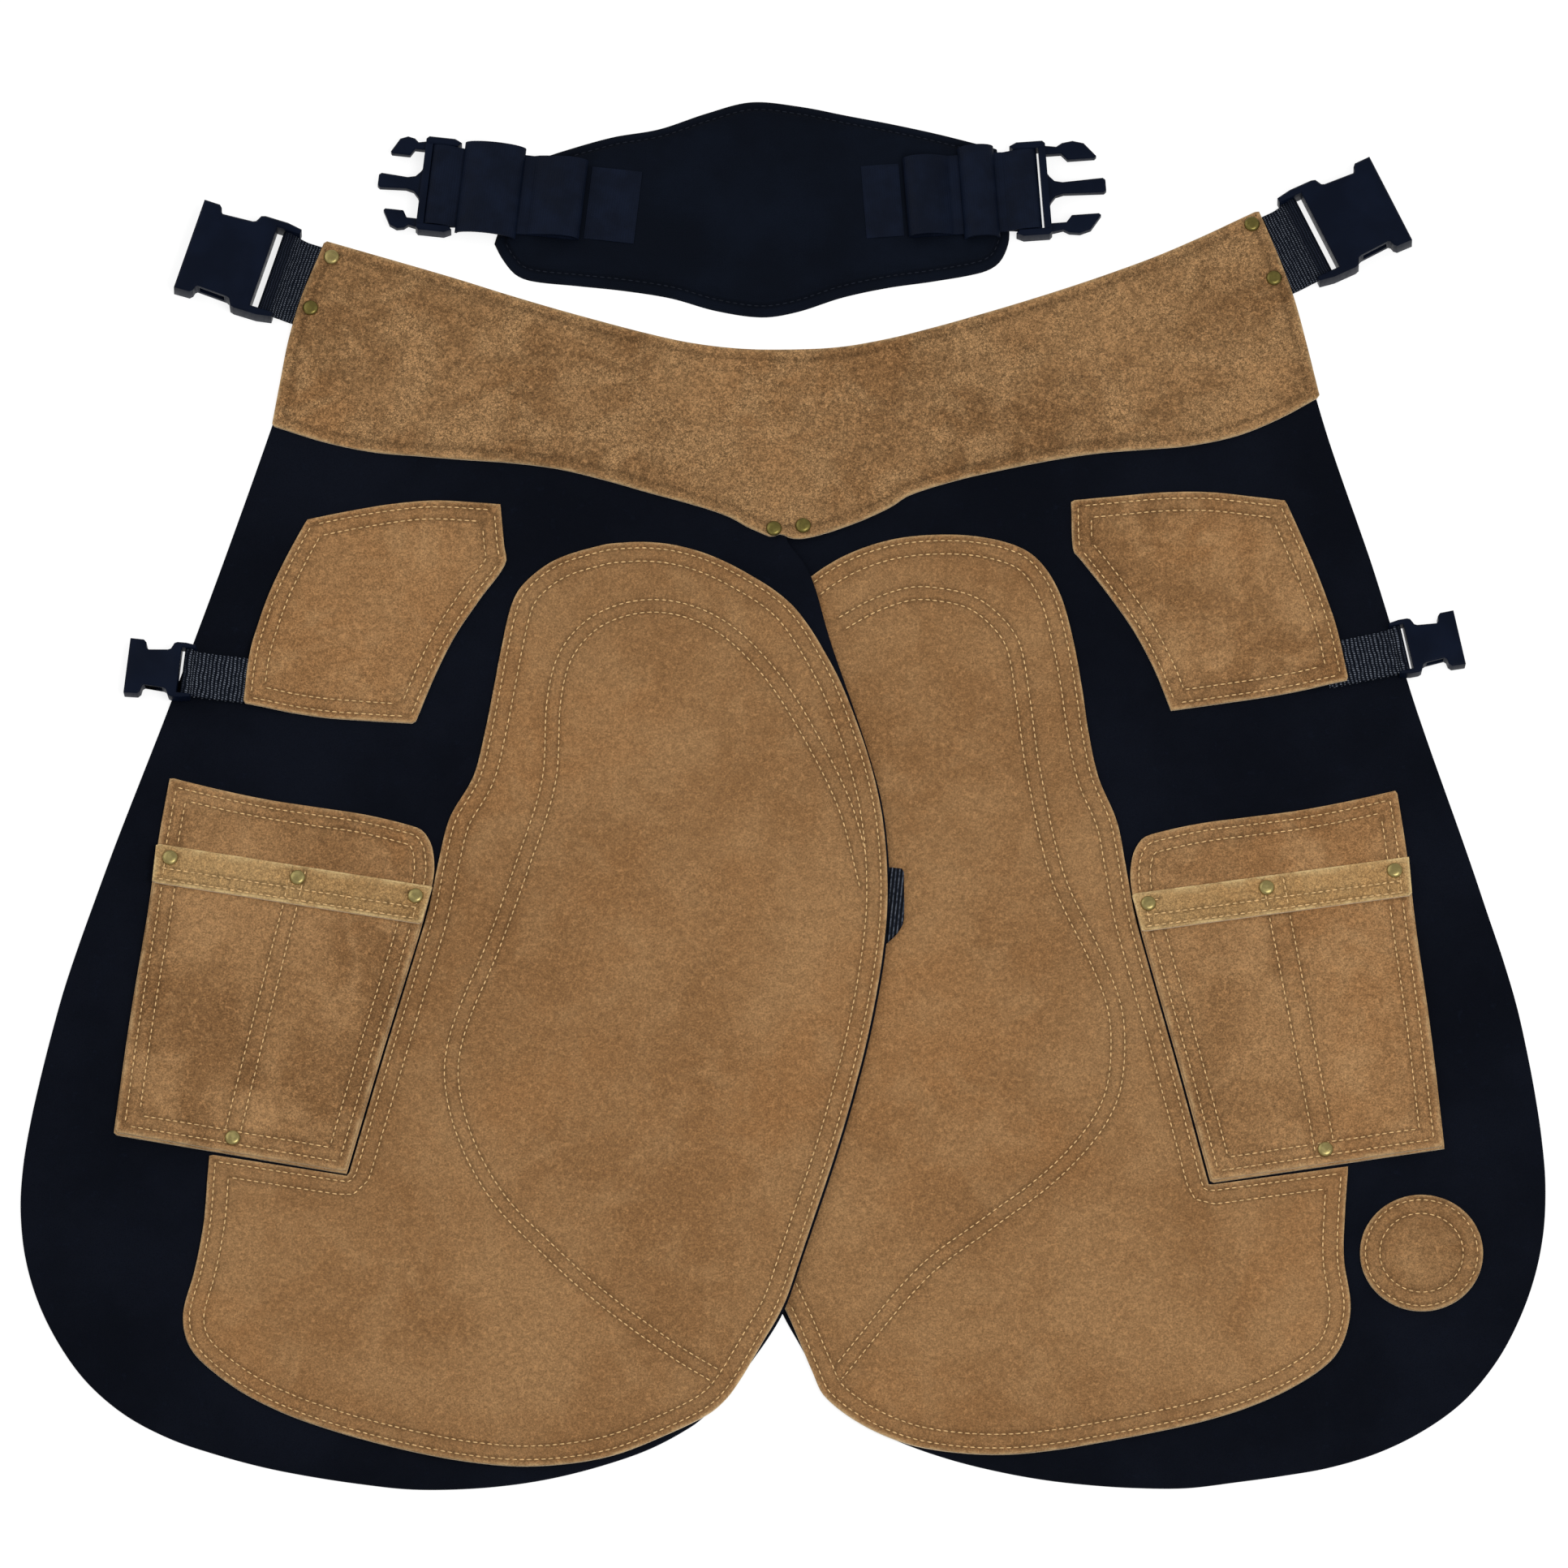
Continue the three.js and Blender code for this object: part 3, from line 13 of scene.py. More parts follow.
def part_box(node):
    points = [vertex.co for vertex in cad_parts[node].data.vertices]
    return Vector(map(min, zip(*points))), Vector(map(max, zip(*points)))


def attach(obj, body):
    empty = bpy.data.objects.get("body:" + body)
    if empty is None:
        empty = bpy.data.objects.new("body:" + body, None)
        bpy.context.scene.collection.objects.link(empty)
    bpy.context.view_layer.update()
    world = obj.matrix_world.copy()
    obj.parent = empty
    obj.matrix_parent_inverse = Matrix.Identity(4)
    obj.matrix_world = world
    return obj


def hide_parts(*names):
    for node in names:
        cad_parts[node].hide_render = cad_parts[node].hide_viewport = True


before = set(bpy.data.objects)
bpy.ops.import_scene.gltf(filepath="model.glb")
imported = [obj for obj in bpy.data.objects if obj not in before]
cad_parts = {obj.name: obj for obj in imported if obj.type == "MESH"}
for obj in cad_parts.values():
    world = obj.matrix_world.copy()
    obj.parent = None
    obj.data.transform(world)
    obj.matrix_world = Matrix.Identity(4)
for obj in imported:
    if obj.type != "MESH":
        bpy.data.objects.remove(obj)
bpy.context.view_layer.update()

bl_info = {
    "name": "Blacksmith apron",
    "version": (1, 0, 0),
    "blender": (4, 5, 0),
    "location": "3D View > Sidebar > Apron",
    "description": "Dresses the split-leg leather apron and its back belt",
    "category": "Object",
}

SIDES = ("left", "right")

# The apron in plan, in metres
HALF_WIDTH = 0.4215
APRON_LENGTH = 0.753
APRON_SHIFT = (0.00029, -0.03276)

# Thicknesses and heights above the floor, in metres
GAP = 0.0003
PANEL = 0.0022
OVERLAY = PANEL + GAP
SUEDE = 0.0018
STRAP = 0.00095

# Spacing of points, in metres, along outlines, seams, rows that are cut in parts, and webbing
OUTLINE_STEP = 0.003
SEAM_STEP = 0.0026
ROW_STEP = 0.0013
WEB_STEP = 0.0011

# How far the puff of the knee pads takes to rise from a seam, and the elastic's cords, in metres
PAD_REACH = 0.016
CORD_PITCH = 0.0021

# The seam across each knee pad, in shares of the half width and of the apron's length
PAD_SEAMS = {
    "left": [
        (0.109, 0.535), (0.080, 0.472), (0.026, 0.408), (-0.020, 0.367),
        (-0.077, 0.334), (-0.136, 0.317), (-0.194, 0.314), (-0.248, 0.325),
        (-0.286, 0.350), (-0.302, 0.385), (-0.309, 0.450), (-0.343, 0.515),
        (-0.382, 0.579), (-0.426, 0.643), (-0.436, 0.681), (-0.417, 0.729),
        (-0.373, 0.776), (-0.311, 0.814), (-0.241, 0.851), (-0.144, 0.894),
        (-0.090, 0.914),
    ],
    "right": [
        (0.076, 0.326), (0.119, 0.312), (0.165, 0.303), (0.199, 0.303),
        (0.248, 0.310), (0.284, 0.327), (0.303, 0.345), (0.315, 0.385),
        (0.328, 0.440), (0.360, 0.524), (0.412, 0.591), (0.435, 0.629),
        (0.438, 0.668), (0.428, 0.699), (0.399, 0.728), (0.347, 0.760),
        (0.267, 0.795), (0.181, 0.834), (0.063, 0.917),
    ],
}
# Where the two legs meet under the yoke's tip, in metres
YOKE_TIP = (0.0016, 0.1530)
# Twin seam down the middle of each pocket front, from below the band to the base, in metres
POCKET_SEAMS = {
    "left": [
        [(-0.2769, -0.0685), (-0.3089, -0.2030)],
        [(-0.2693, -0.0699), (-0.3003, -0.2035)],
    ],
    "right": [
        [(0.2689, -0.0732), (0.2941, -0.2136)],
        [(0.2802, -0.0718), (0.3040, -0.2069)],
    ],
}


# Lines and outlines in plan

def spot(across, down):
    """Plan point from shares of the half width and of the apron's length."""
    x = across * HALF_WIDTH + APRON_SHIFT[0]
    return (x, (0.5 - down) * APRON_LENGTH + APRON_SHIFT[1])


def resampled(line, step, closed=False):
    """The line again, with even steps."""
    line = np.asarray(line, float)
    if closed:
        line = np.vstack((line, line[:1]))
    along = np.r_[0, np.cumsum(np.linalg.norm(np.diff(line, axis=0), axis=1))]
    count = max(int(round(along[-1] / step)), 1)
    at = np.linspace(0, along[-1], count + 1)
    if closed:
        at = at[:-1]
    return np.stack([np.interp(at, along, line[:, k]) for k in range(line.shape[1])], axis=1)


def curve_through(points, closed=False, corners=()):
    """Dense smooth curve through the points, broken at the given corners."""
    points = np.asarray(points, float)
    count = len(points)
    spans = count if closed else count - 1
    out = []
    for i in range(spans):
        p1, p2 = points[i], points[(i + 1) % count]
        ends_here = i in corners or (not closed and i == 0)
        ends_next = (i + 1) % count in corners or (not closed and i == spans - 1)
        p0 = 2 * p1 - p2 if ends_here else points[i - 1]
        p3 = 2 * p2 - p1 if ends_next else points[(i + 2) % count]
        d0, d1, d2 = (max(np.linalg.norm(b - a), 1e-9) for a, b in ((p0, p1), (p1, p2), (p2, p3)))
        m1 = (p2 - p0) / (d0 + d1) * d1
        m2 = (p3 - p1) / (d1 + d2) * d1
        steps = max(int(d1 / 0.0008), 2)
        t = (np.arange(steps) / steps)[:, None]
        out.append(
            (2 * t**3 - 3 * t**2 + 1) * p1 + (t**3 - 2 * t**2 + t) * m1
            + (3 * t**2 - 2 * t**3) * p2 + (t**3 - t**2) * m2
        )
    if not closed:
        out.append(points[-1:])
    return np.vstack(out)


def sharp_corners(points, degrees=40):
    """Numbers of the outline's points where it turns by more than that."""
    before = points - np.roll(points, 1, axis=0)
    after = np.roll(points, -1, axis=0) - points
    turn = np.arctan2(
        before[:, 0] * after[:, 1] - before[:, 1] * after[:, 0], (before * after).sum(axis=1)
    )
    return set(np.flatnonzero(np.abs(turn) > math.radians(degrees)).tolist())


class Lines:
    """Lines in plan that can tell how near a point is to them."""

    def __init__(self, lines, closed=False):
        self.points = np.vstack(lines)
        before, after, first = [], [], 0
        for line in lines:
            numbers = np.arange(first, first + len(line))
            ahead, behind = np.roll(numbers, -1), np.roll(numbers, 1)
            if not closed:
                ahead[-1], behind[0] = numbers[-1], numbers[0]
            after.append(ahead)
            before.append(behind)
            first += len(line)
        self.sides = (np.concatenate(before), np.concatenate(after))
        self.tree = KDTree(len(self.points))
        for i, (x, y) in enumerate(self.points):
            self.tree.insert((x, y, 0), i)
        self.tree.balance()

    def distance(self, points):
        find = self.tree.find
        near = np.array([find((x, y, 0))[1] for x, y in points.tolist()], int)
        found = np.full(len(points), 1e9)
        for side in self.sides:
            start, end = self.points[near], self.points[side[near]]
            way = end - start
            length = np.maximum((way**2).sum(axis=1), 1e-18)
            t = np.clip(((points - start) * way).sum(axis=1) / length, 0, 1)
            gap = points - start - t[:, None] * way
            found = np.minimum(found, np.sqrt((gap**2).sum(axis=1)))
        return found


def distance(points, line, closed=False):
    """Distance from each point to the line."""
    return Lines([line], closed).distance(points)


def inside(points, loop):
    """Whether each point is inside the outline."""
    result = np.zeros(len(points), bool)
    x, y = points[:, 0], points[:, 1]
    for (ax, ay), (bx, by) in zip(loop, np.roll(loop, -1, axis=0)):
        crossing = (ay > y) != (by > y)
        reach = (bx - ax) * (y - ay) / (by - ay if by != ay else 1e-12) + ax
        result ^= crossing & (x < reach)
    return result


def moved_sideways(line, offset, closed=False):
    """The line moved to its left."""
    way = np.roll(line, -1, axis=0) - np.roll(line, 1, axis=0) if closed else np.gradient(line, axis=0)
    side = np.stack((-way[:, 1], way[:, 0]), axis=1)
    return line + side / np.maximum(np.linalg.norm(side, axis=1), 1e-12)[:, None] * offset


def rows_inside(loop, inset):
    """Stitch rows that follow the outline at the given distance inside it."""
    row = moved_sideways(loop, inset, closed=True)
    keep = distance(row, loop, closed=True) > inset * 0.985
    if keep.all():
        return [np.vstack((row, row[:1]))]
    start = int(np.flatnonzero(~keep)[0])
    return runs(np.roll(row, -start, axis=0), np.roll(keep, -start))


def runs(row, keep):
    """The stretches of the row that are kept."""
    numbers = np.flatnonzero(keep)
    breaks = np.flatnonzero(np.diff(numbers) > 1) + 1
    return [row[part] for part in np.split(numbers, breaks) if len(part) > 3]


def row_above_lower_edge(loop, inset, end=0.0025, near_end=0.0145):
    """A row along the outline's lower long side, and a test for points near its two ends."""
    middle = loop.mean(axis=0)
    way = np.linalg.svd(loop - middle)[2][0]
    way = way * np.sign(way[0])
    across, below = (loop - middle) @ way, (loop - middle) @ np.array((way[1], -way[0]))
    reach = np.abs(across).max()
    low = (below > below.max() * 0.5) & (np.abs(across) < reach - end)
    row = moved_sideways(loop, inset, closed=True)[low]
    row = row[np.argsort((row - middle) @ way)]
    return row, lambda points: np.abs((points - middle) @ way) > reach - near_end


def smooth_step(t):
    t = np.clip(t, 0, 1)
    return t * t * (3 - 2 * t)


def swell(far, reach, power=1.4):
    """From 0 on a line to 1 well away from it."""
    return 1 - np.exp(-(far / reach) ** power)


def fade(far, reach):
    """From 1 on a line to 0 well away from it."""
    return np.exp(-(far / reach) ** 2)


def ripple(points, seed, longest, shortest):
    """Gentle uneven waves between -1 and 1."""
    rng = np.random.default_rng(seed)
    total = np.zeros(len(points))
    for _ in range(9):
        angle, phase = rng.uniform(0, math.tau, 2)
        k = math.tau / rng.uniform(shortest, longest)
        wave = k * (points[:, 0] * math.cos(angle) + points[:, 1] * math.sin(angle))
        total += np.sin(wave + phase)
    return total / 4.5


# CAD nodes as guides

def cad_mesh(node):
    """A node's mesh as a bmesh with its corners merged."""
    bm = bmesh.new()
    bm.from_mesh(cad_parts[node].data)
    bmesh.ops.remove_doubles(bm, verts=bm.verts, dist=1e-6)
    bm.normal_update()
    return bm


def cad_outline(node):
    """Plan outline of a sheet node, anticlockwise, smooth between its corners."""
    bm = cad_mesh(node)
    follow = {}
    for face in bm.faces:
        if face.normal.z > -0.5:
            continue
        for loop in face.loops:
            if loop.link_loop_radial_next.face.normal.z > -0.5:
                follow[loop.link_loop_next.vert] = loop.vert
    first = next(iter(follow))
    points, at = [], first
    while True:
        points.append((at.co.x, at.co.y))
        at = follow[at]
        if at is first:
            break
    bm.free()
    points = np.array(points)
    return curve_through(points, True, sharp_corners(points))


def outline(node):
    """The node's plan outline with even steps."""
    return resampled(cad_outline(node), OUTLINE_STEP, closed=True)


def moved_copies(grid, **padding):
    """The grid and its copies moved by one cell, nine in all."""
    padded = np.pad(grid, 1, **padding)
    across, up = grid.shape
    return [
        padded[1 + a:1 + a + across, 1 + b:1 + b + up] for a in (-1, 0, 1) for b in (-1, 0, 1)
    ]


class Ground:
    """Height of a node's underside, smoothed, over the whole plan."""

    step = 0.004
    margin = 0.012

    def __init__(self, node):
        bm = cad_mesh(node)
        tree = BVHTree.FromBMesh(bm)
        bm.free()
        low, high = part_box(node)
        self.origin = np.array((low[0] - self.margin, low[1] - self.margin))
        across = int((high[0] - low[0] + 2 * self.margin) / self.step) + 2
        up = int((high[1] - low[1] + 2 * self.margin) / self.step) + 2
        grid = np.full((across, up), np.nan)
        for i in range(across):
            for j in range(up):
                x, y = self.origin + np.array((i, j)) * self.step
                hit = tree.ray_cast(Vector((x, y, low[2] - 0.01)), Vector((0, 0, 1)))[0]
                if hit is not None:
                    grid[i, j] = hit.z
        while np.isnan(grid).any():
            around = np.stack(moved_copies(grid, constant_values=np.nan))
            known = ~np.isnan(around)
            total = np.where(known, around, 0).sum(axis=0)
            count = known.sum(axis=0)
            fill = np.isnan(grid) & (count > 0)
            grid[fill] = total[fill] / count[fill]
        for _ in range(3):
            grid = sum(moved_copies(grid, mode="edge")) / 9
        self.grid = grid

    def at(self, points):
        place = (points - self.origin) / self.step
        limit = np.array(self.grid.shape) - 1.001
        place = np.clip(place, 0, limit)
        low = place.astype(int)
        part = place - low
        i, j = low[:, 0], low[:, 1]
        a, b = part[:, 0], part[:, 1]
        g = self.grid
        return (
            g[i, j] * (1 - a) * (1 - b) + g[i + 1, j] * a * (1 - b)
            + g[i, j + 1] * (1 - a) * b + g[i + 1, j + 1] * a * b
        )


# Surfaces

class Sheet:
    """A cut piece of leather or cloth that lies over a node's place."""

    # Point lines inside the outline, in millimetres for an edge that is 0.7 mm round
    edge_insets = (0.25, 0.6, 1.0, 2.4)
    seam_offsets = (0, -0.0009, 0.0009, -0.0021, 0.0021)
    clear_of_lines = 0.0032
    clear_of_rim = 0.00018
    point_cell = 0.0006
    underside_step = 0.014

    def __init__(self, node, thickness, loop=None, rows=(), puff=0.0, reach=0.02,
                 groove=0.0006, waves=0.0, wave=(0.14, 0.05), seed=1, edge=0.0007, fray=0.0009,
                 extra=None):
        self.node = node
        self.ground = Ground(node)
        self.thickness = thickness
        self.loop = resampled(cad_outline(node) if loop is None else loop, OUTLINE_STEP, True)
        self.rows = [resampled(row, SEAM_STEP) for row in rows]
        self.puff, self.reach, self.groove = puff, reach, groove
        self.waves, self.wave, self.seed = waves, wave, seed
        self.edge, self.fray = edge, fray
        self.extra = extra
        self.rim = Lines([self.loop], closed=True)
        self.seams = Lines(self.rows) if self.rows else None

    def seam_distance(self, points):
        return self.seams.distance(points) if self.seams else np.full(len(points), 1.0)

    def top(self, points):
        from_edge = self.rim.distance(points)
        from_seam = self.seam_distance(points)
        from_any = np.minimum(from_edge, from_seam)
        height = self.ground.at(points) + self.thickness
        height += self.puff * swell(from_any, self.reach)
        height -= self.groove * fade(from_seam, 0.0011)
        calm = smooth_step(from_edge / 0.01)
        height += self.waves * calm * ripple(points, self.seed, *self.wave)
        if self.extra is not None:
            height += self.extra(points, from_edge, from_seam)
        short = np.clip(self.edge - from_edge, 0, self.edge)
        return height - (self.edge - np.sqrt(np.maximum(self.edge**2 - short**2, 0)))

    def surface(self, step):
        """Points and triangles of the top, dense along the edge and the seams."""
        edge_lines = [
            moved_sideways(self.loop, inset * self.edge / 0.0007 * 0.001, True)
            for inset in self.edge_insets
        ]
        seam_lines = [moved_sideways(row, by) for row in self.rows for by in self.seam_offsets]
        low, high = self.loop.min(axis=0), self.loop.max(axis=0)
        rise = step * 0.866
        lattice = []
        for j in range(int((high[1] - low[1]) / rise) + 2):
            xs = np.arange(low[0] + (j % 2) * step / 2, high[0] + step, step)
            lattice.append(np.stack((xs, np.full(len(xs), low[1] + j * rise)), axis=1))
        lattice = np.vstack(lattice)
        lattice = lattice[inside(lattice, self.loop)]
        clear = self.rim.distance(lattice) > self.clear_of_lines
        clear &= self.seam_distance(lattice) > self.clear_of_lines
        lines = np.vstack(seam_lines + edge_lines)
        lines = lines[inside(lines, self.loop)]
        lines = lines[self.rim.distance(lines) > self.clear_of_rim]
        inner = np.vstack((lines, lattice[clear]))
        cells = np.round(inner / self.point_cell).astype(int)
        _, first = np.unique(cells, axis=0, return_index=True)
        return triangulated(self.loop, inner[np.sort(first)])

    def piece(self, name, finishes, step, slot):
        """The closed sheet as one piece, with seam, valley and rim attributes for its finish; seam and
        valley place painted shade.
        """
        top_points, top_faces, top_rim = self.surface(step)
        low_points, low_faces, low_rim = triangulated(self.loop, self.coarse_points())
        shift = len(top_points)
        points = np.vstack((
            np.column_stack((top_points, self.top(top_points))),
            np.column_stack((low_points, self.ground.at(low_points))),
        ))
        faces = [tuple(f) for f in top_faces]
        faces += [tuple(v + shift for v in reversed(f)) for f in low_faces]
        count = len(self.loop)
        wall_from = len(faces)
        for i in range(count):
            j = (i + 1) % count
            faces.append((low_rim[i] + shift, low_rim[j] + shift, top_rim[j], top_rim[i]))
        mesh = bpy.data.meshes.new(name)
        mesh.from_pydata(points.tolist(), [], faces)
        plan = points[:, :2]
        from_seam = self.seam_distance(plan)
        # seam and valley tell the finish where to paint shade along the seams and in the valleys
        # beside them; rim marks the frayed edge.
        marks = {
            "seam": fade(from_seam, 0.0017), "valley": fade(from_seam, 0.008),
            "rim": fade(self.rim.distance(plan), self.fray),
        }
        for label, values in marks.items():
            mesh.attributes.new(label, "FLOAT", "POINT").data.foreach_set("value", values)
        for polygon in mesh.polygons[wall_from:]:
            polygon.material_index = len(finishes) - 1
        return finished(mesh, name, (self.node,), finishes)

    def coarse_points(self):
        """Widely spaced points for the underside."""
        step = self.underside_step
        low, high = self.loop.min(axis=0), self.loop.max(axis=0)
        xs, ys = (np.arange(low[k] + step / 2, high[k], step) for k in (0, 1))
        grid = np.array([(x, y) for x in xs for y in ys]).reshape(-1, 2)
        if not len(grid):
            return grid
        keep = inside(grid, self.loop)
        grid = grid[keep]
        return grid[self.rim.distance(grid) > 0.005] if len(grid) else grid

    def area(self):
        x, y = self.loop[:, 0], self.loop[:, 1]
        return abs(float((x * np.roll(y, -1) - np.roll(x, -1) * y).sum() / 2))


def triangulated(loop, inner):
    """Points, triangles and the numbers of the outline's points, over the outline."""
    given = np.vstack((loop, inner)) if len(inner) else loop
    count = len(loop)
    verts, _, faces, from_verts, _, _ = delaunay_2d_cdt(
        [Vector(p) for p in given], [], [list(range(count))], 1, 1e-7
    )
    rim = [None] * count
    for i, sources in enumerate(from_verts):
        for source in sources:
            if source < count:
                rim[source] = i
    points = np.array([tuple(v) for v in verts])
    return points, faces, rim


def finished(mesh, name, nodes, finishes, angle=50):
    """Makes the mesh a piece that stands for its nodes and rides with the part."""
    for finish in finishes:
        mesh.materials.append(finish_for(finish))
    mesh.polygons.foreach_set("use_smooth", [True] * len(mesh.polygons))
    mesh.set_sharp_from_angle(angle=math.radians(angle))
    mesh.update()
    piece = bpy.data.objects.new(name, mesh)
    bpy.context.scene.collection.objects.link(piece)
    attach(piece, "root")
    if nodes:
        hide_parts(*nodes)
    return piece


def from_bmesh(bm, name, nodes, finishes, angle):
    mesh = bpy.data.meshes.new(name)
    bm.to_mesh(mesh)
    bm.free()
    return finished(mesh, name, nodes, finishes, angle)


def laid(sheet):
    sheet.area()


def stitched(name, rows, top, finish="tan_thread", covered=None):
    """Rows of single stitches, each a small capsule pressed into the surface."""
    sizes = bpy.context.scene.apron_sizes
    half = sizes.stitch_length / 2
    flatness, rise = 0.42, 0.12
    size = Matrix.Diagonal((half, sizes.stitch_width / 2, sizes.stitch_width * flatness, 1))
    size = size @ Matrix.Rotation(math.pi / 2, 4, "Y")
    places = []
    for row in rows:
        marks = resampled(row, sizes.stitch_pitch / 2)
        centres = marks[1:-1:2]
        ways = marks[2::2][:len(centres)] - marks[0:-2:2][:len(centres)]
        if not len(centres):
            continue
        ways = ways / np.maximum(np.linalg.norm(ways, axis=1), 1e-9)[:, None]
        heights = top(centres)
        slopes = (top(centres + ways * half) - top(centres - ways * half)) / (2 * half)
        shown = ~covered(centres) if covered else np.ones(len(centres), bool)
        for at, way, z, slope in zip(*(a[shown] for a in (centres, ways, heights, slopes))):
            turn = Vector((way[0], way[1], slope)).to_track_quat("X", "Z").to_matrix().to_4x4()
            lift = Matrix.Translation((at[0], at[1], z + sizes.stitch_width * rise))
            places.append(lift @ turn @ size)
    whole, part = bmesh.new(), bpy.data.meshes.new("part")
    for first in range(0, len(places), 16):
        bm = bmesh.new()
        for matrix in places[first:first + 16]:
            bmesh.ops.create_uvsphere(bm, u_segments=6, v_segments=5, radius=1, matrix=matrix)
        bm.to_mesh(part)
        bm.free()
        whole.from_mesh(part)
    bpy.data.meshes.remove(part)
    return from_bmesh(whole, name, (), [finish], 180)


def web_strip(name, nodes, path, width, thickness, at, turn, finish, ribs, closed=False,
              flat_and_shaded_from=1.0):
    """Woven strap that follows a path of (outward, height) points, with ribs across it.

    Past the given point outward its yarns lie flat, and an attribute tells the finish to leave out the
    pale flecks there, as painted shade over the turn round the bar.
    """
    sizes = bpy.context.scene.apron_sizes
    line = resampled(curve_through(path, closed), WEB_STEP, closed)
    if closed:
        line = np.vstack((line, line[:1]))
    along = np.r_[0, np.cumsum(np.linalg.norm(np.diff(line, axis=0), axis=1))]
    way = np.gradient(line, axis=0)
    if closed:
        way[0] = way[-1] = line[1] - line[-2]
    way /= np.linalg.norm(way, axis=1)[:, None]
    bm = bmesh.new()
    uv = bm.loops.layers.uv.new("UVMap")
    bmesh.ops.create_grid(bm, x_segments=len(line) - 1, y_segments=8, size=0.5, calc_uvs=True)
    for face in bm.faces:
        for loop in face.loops:
            loop[uv].uv = (loop[uv].uv[0] * along[-1], loop[uv].uv[1] * width)
    shift = Matrix.Translation((at[0], at[1], 0)) @ Matrix.Rotation(turn, 4, "Z")
    # Marks where the strap lies flat round the bar; there the finish leaves out the pale flecks as
    # painted shade.
    flat_and_shaded = bm.verts.layers.float.new("flat_and_shaded")
    for vert in bm.verts:
        i = int(round((vert.co.x + 0.5) * (len(line) - 1)))
        flat = float(smooth_step((line[i][0] - flat_and_shaded_from) / 0.003))
        bulge = ribs * (1 - flat) * math.cos(math.tau * along[i] / sizes.rib_pitch)
        x, z = line[i] + np.array((-way[i][1], way[i][0])) * (bulge - thickness / 2)
        vert.co = shift @ Vector((x, vert.co.y * width, z))
        vert[flat_and_shaded] = flat
    if closed:
        bmesh.ops.remove_doubles(bm, verts=bm.verts, dist=1e-6)
    bmesh.ops.recalc_face_normals(bm, faces=bm.faces)
    bmesh.ops.solidify(bm, geom=bm.faces[:], thickness=thickness)
    bmesh.ops.recalc_face_normals(bm, faces=bm.faces)
    return from_bmesh(bm, name, nodes, [finish], 60)


# Finishes

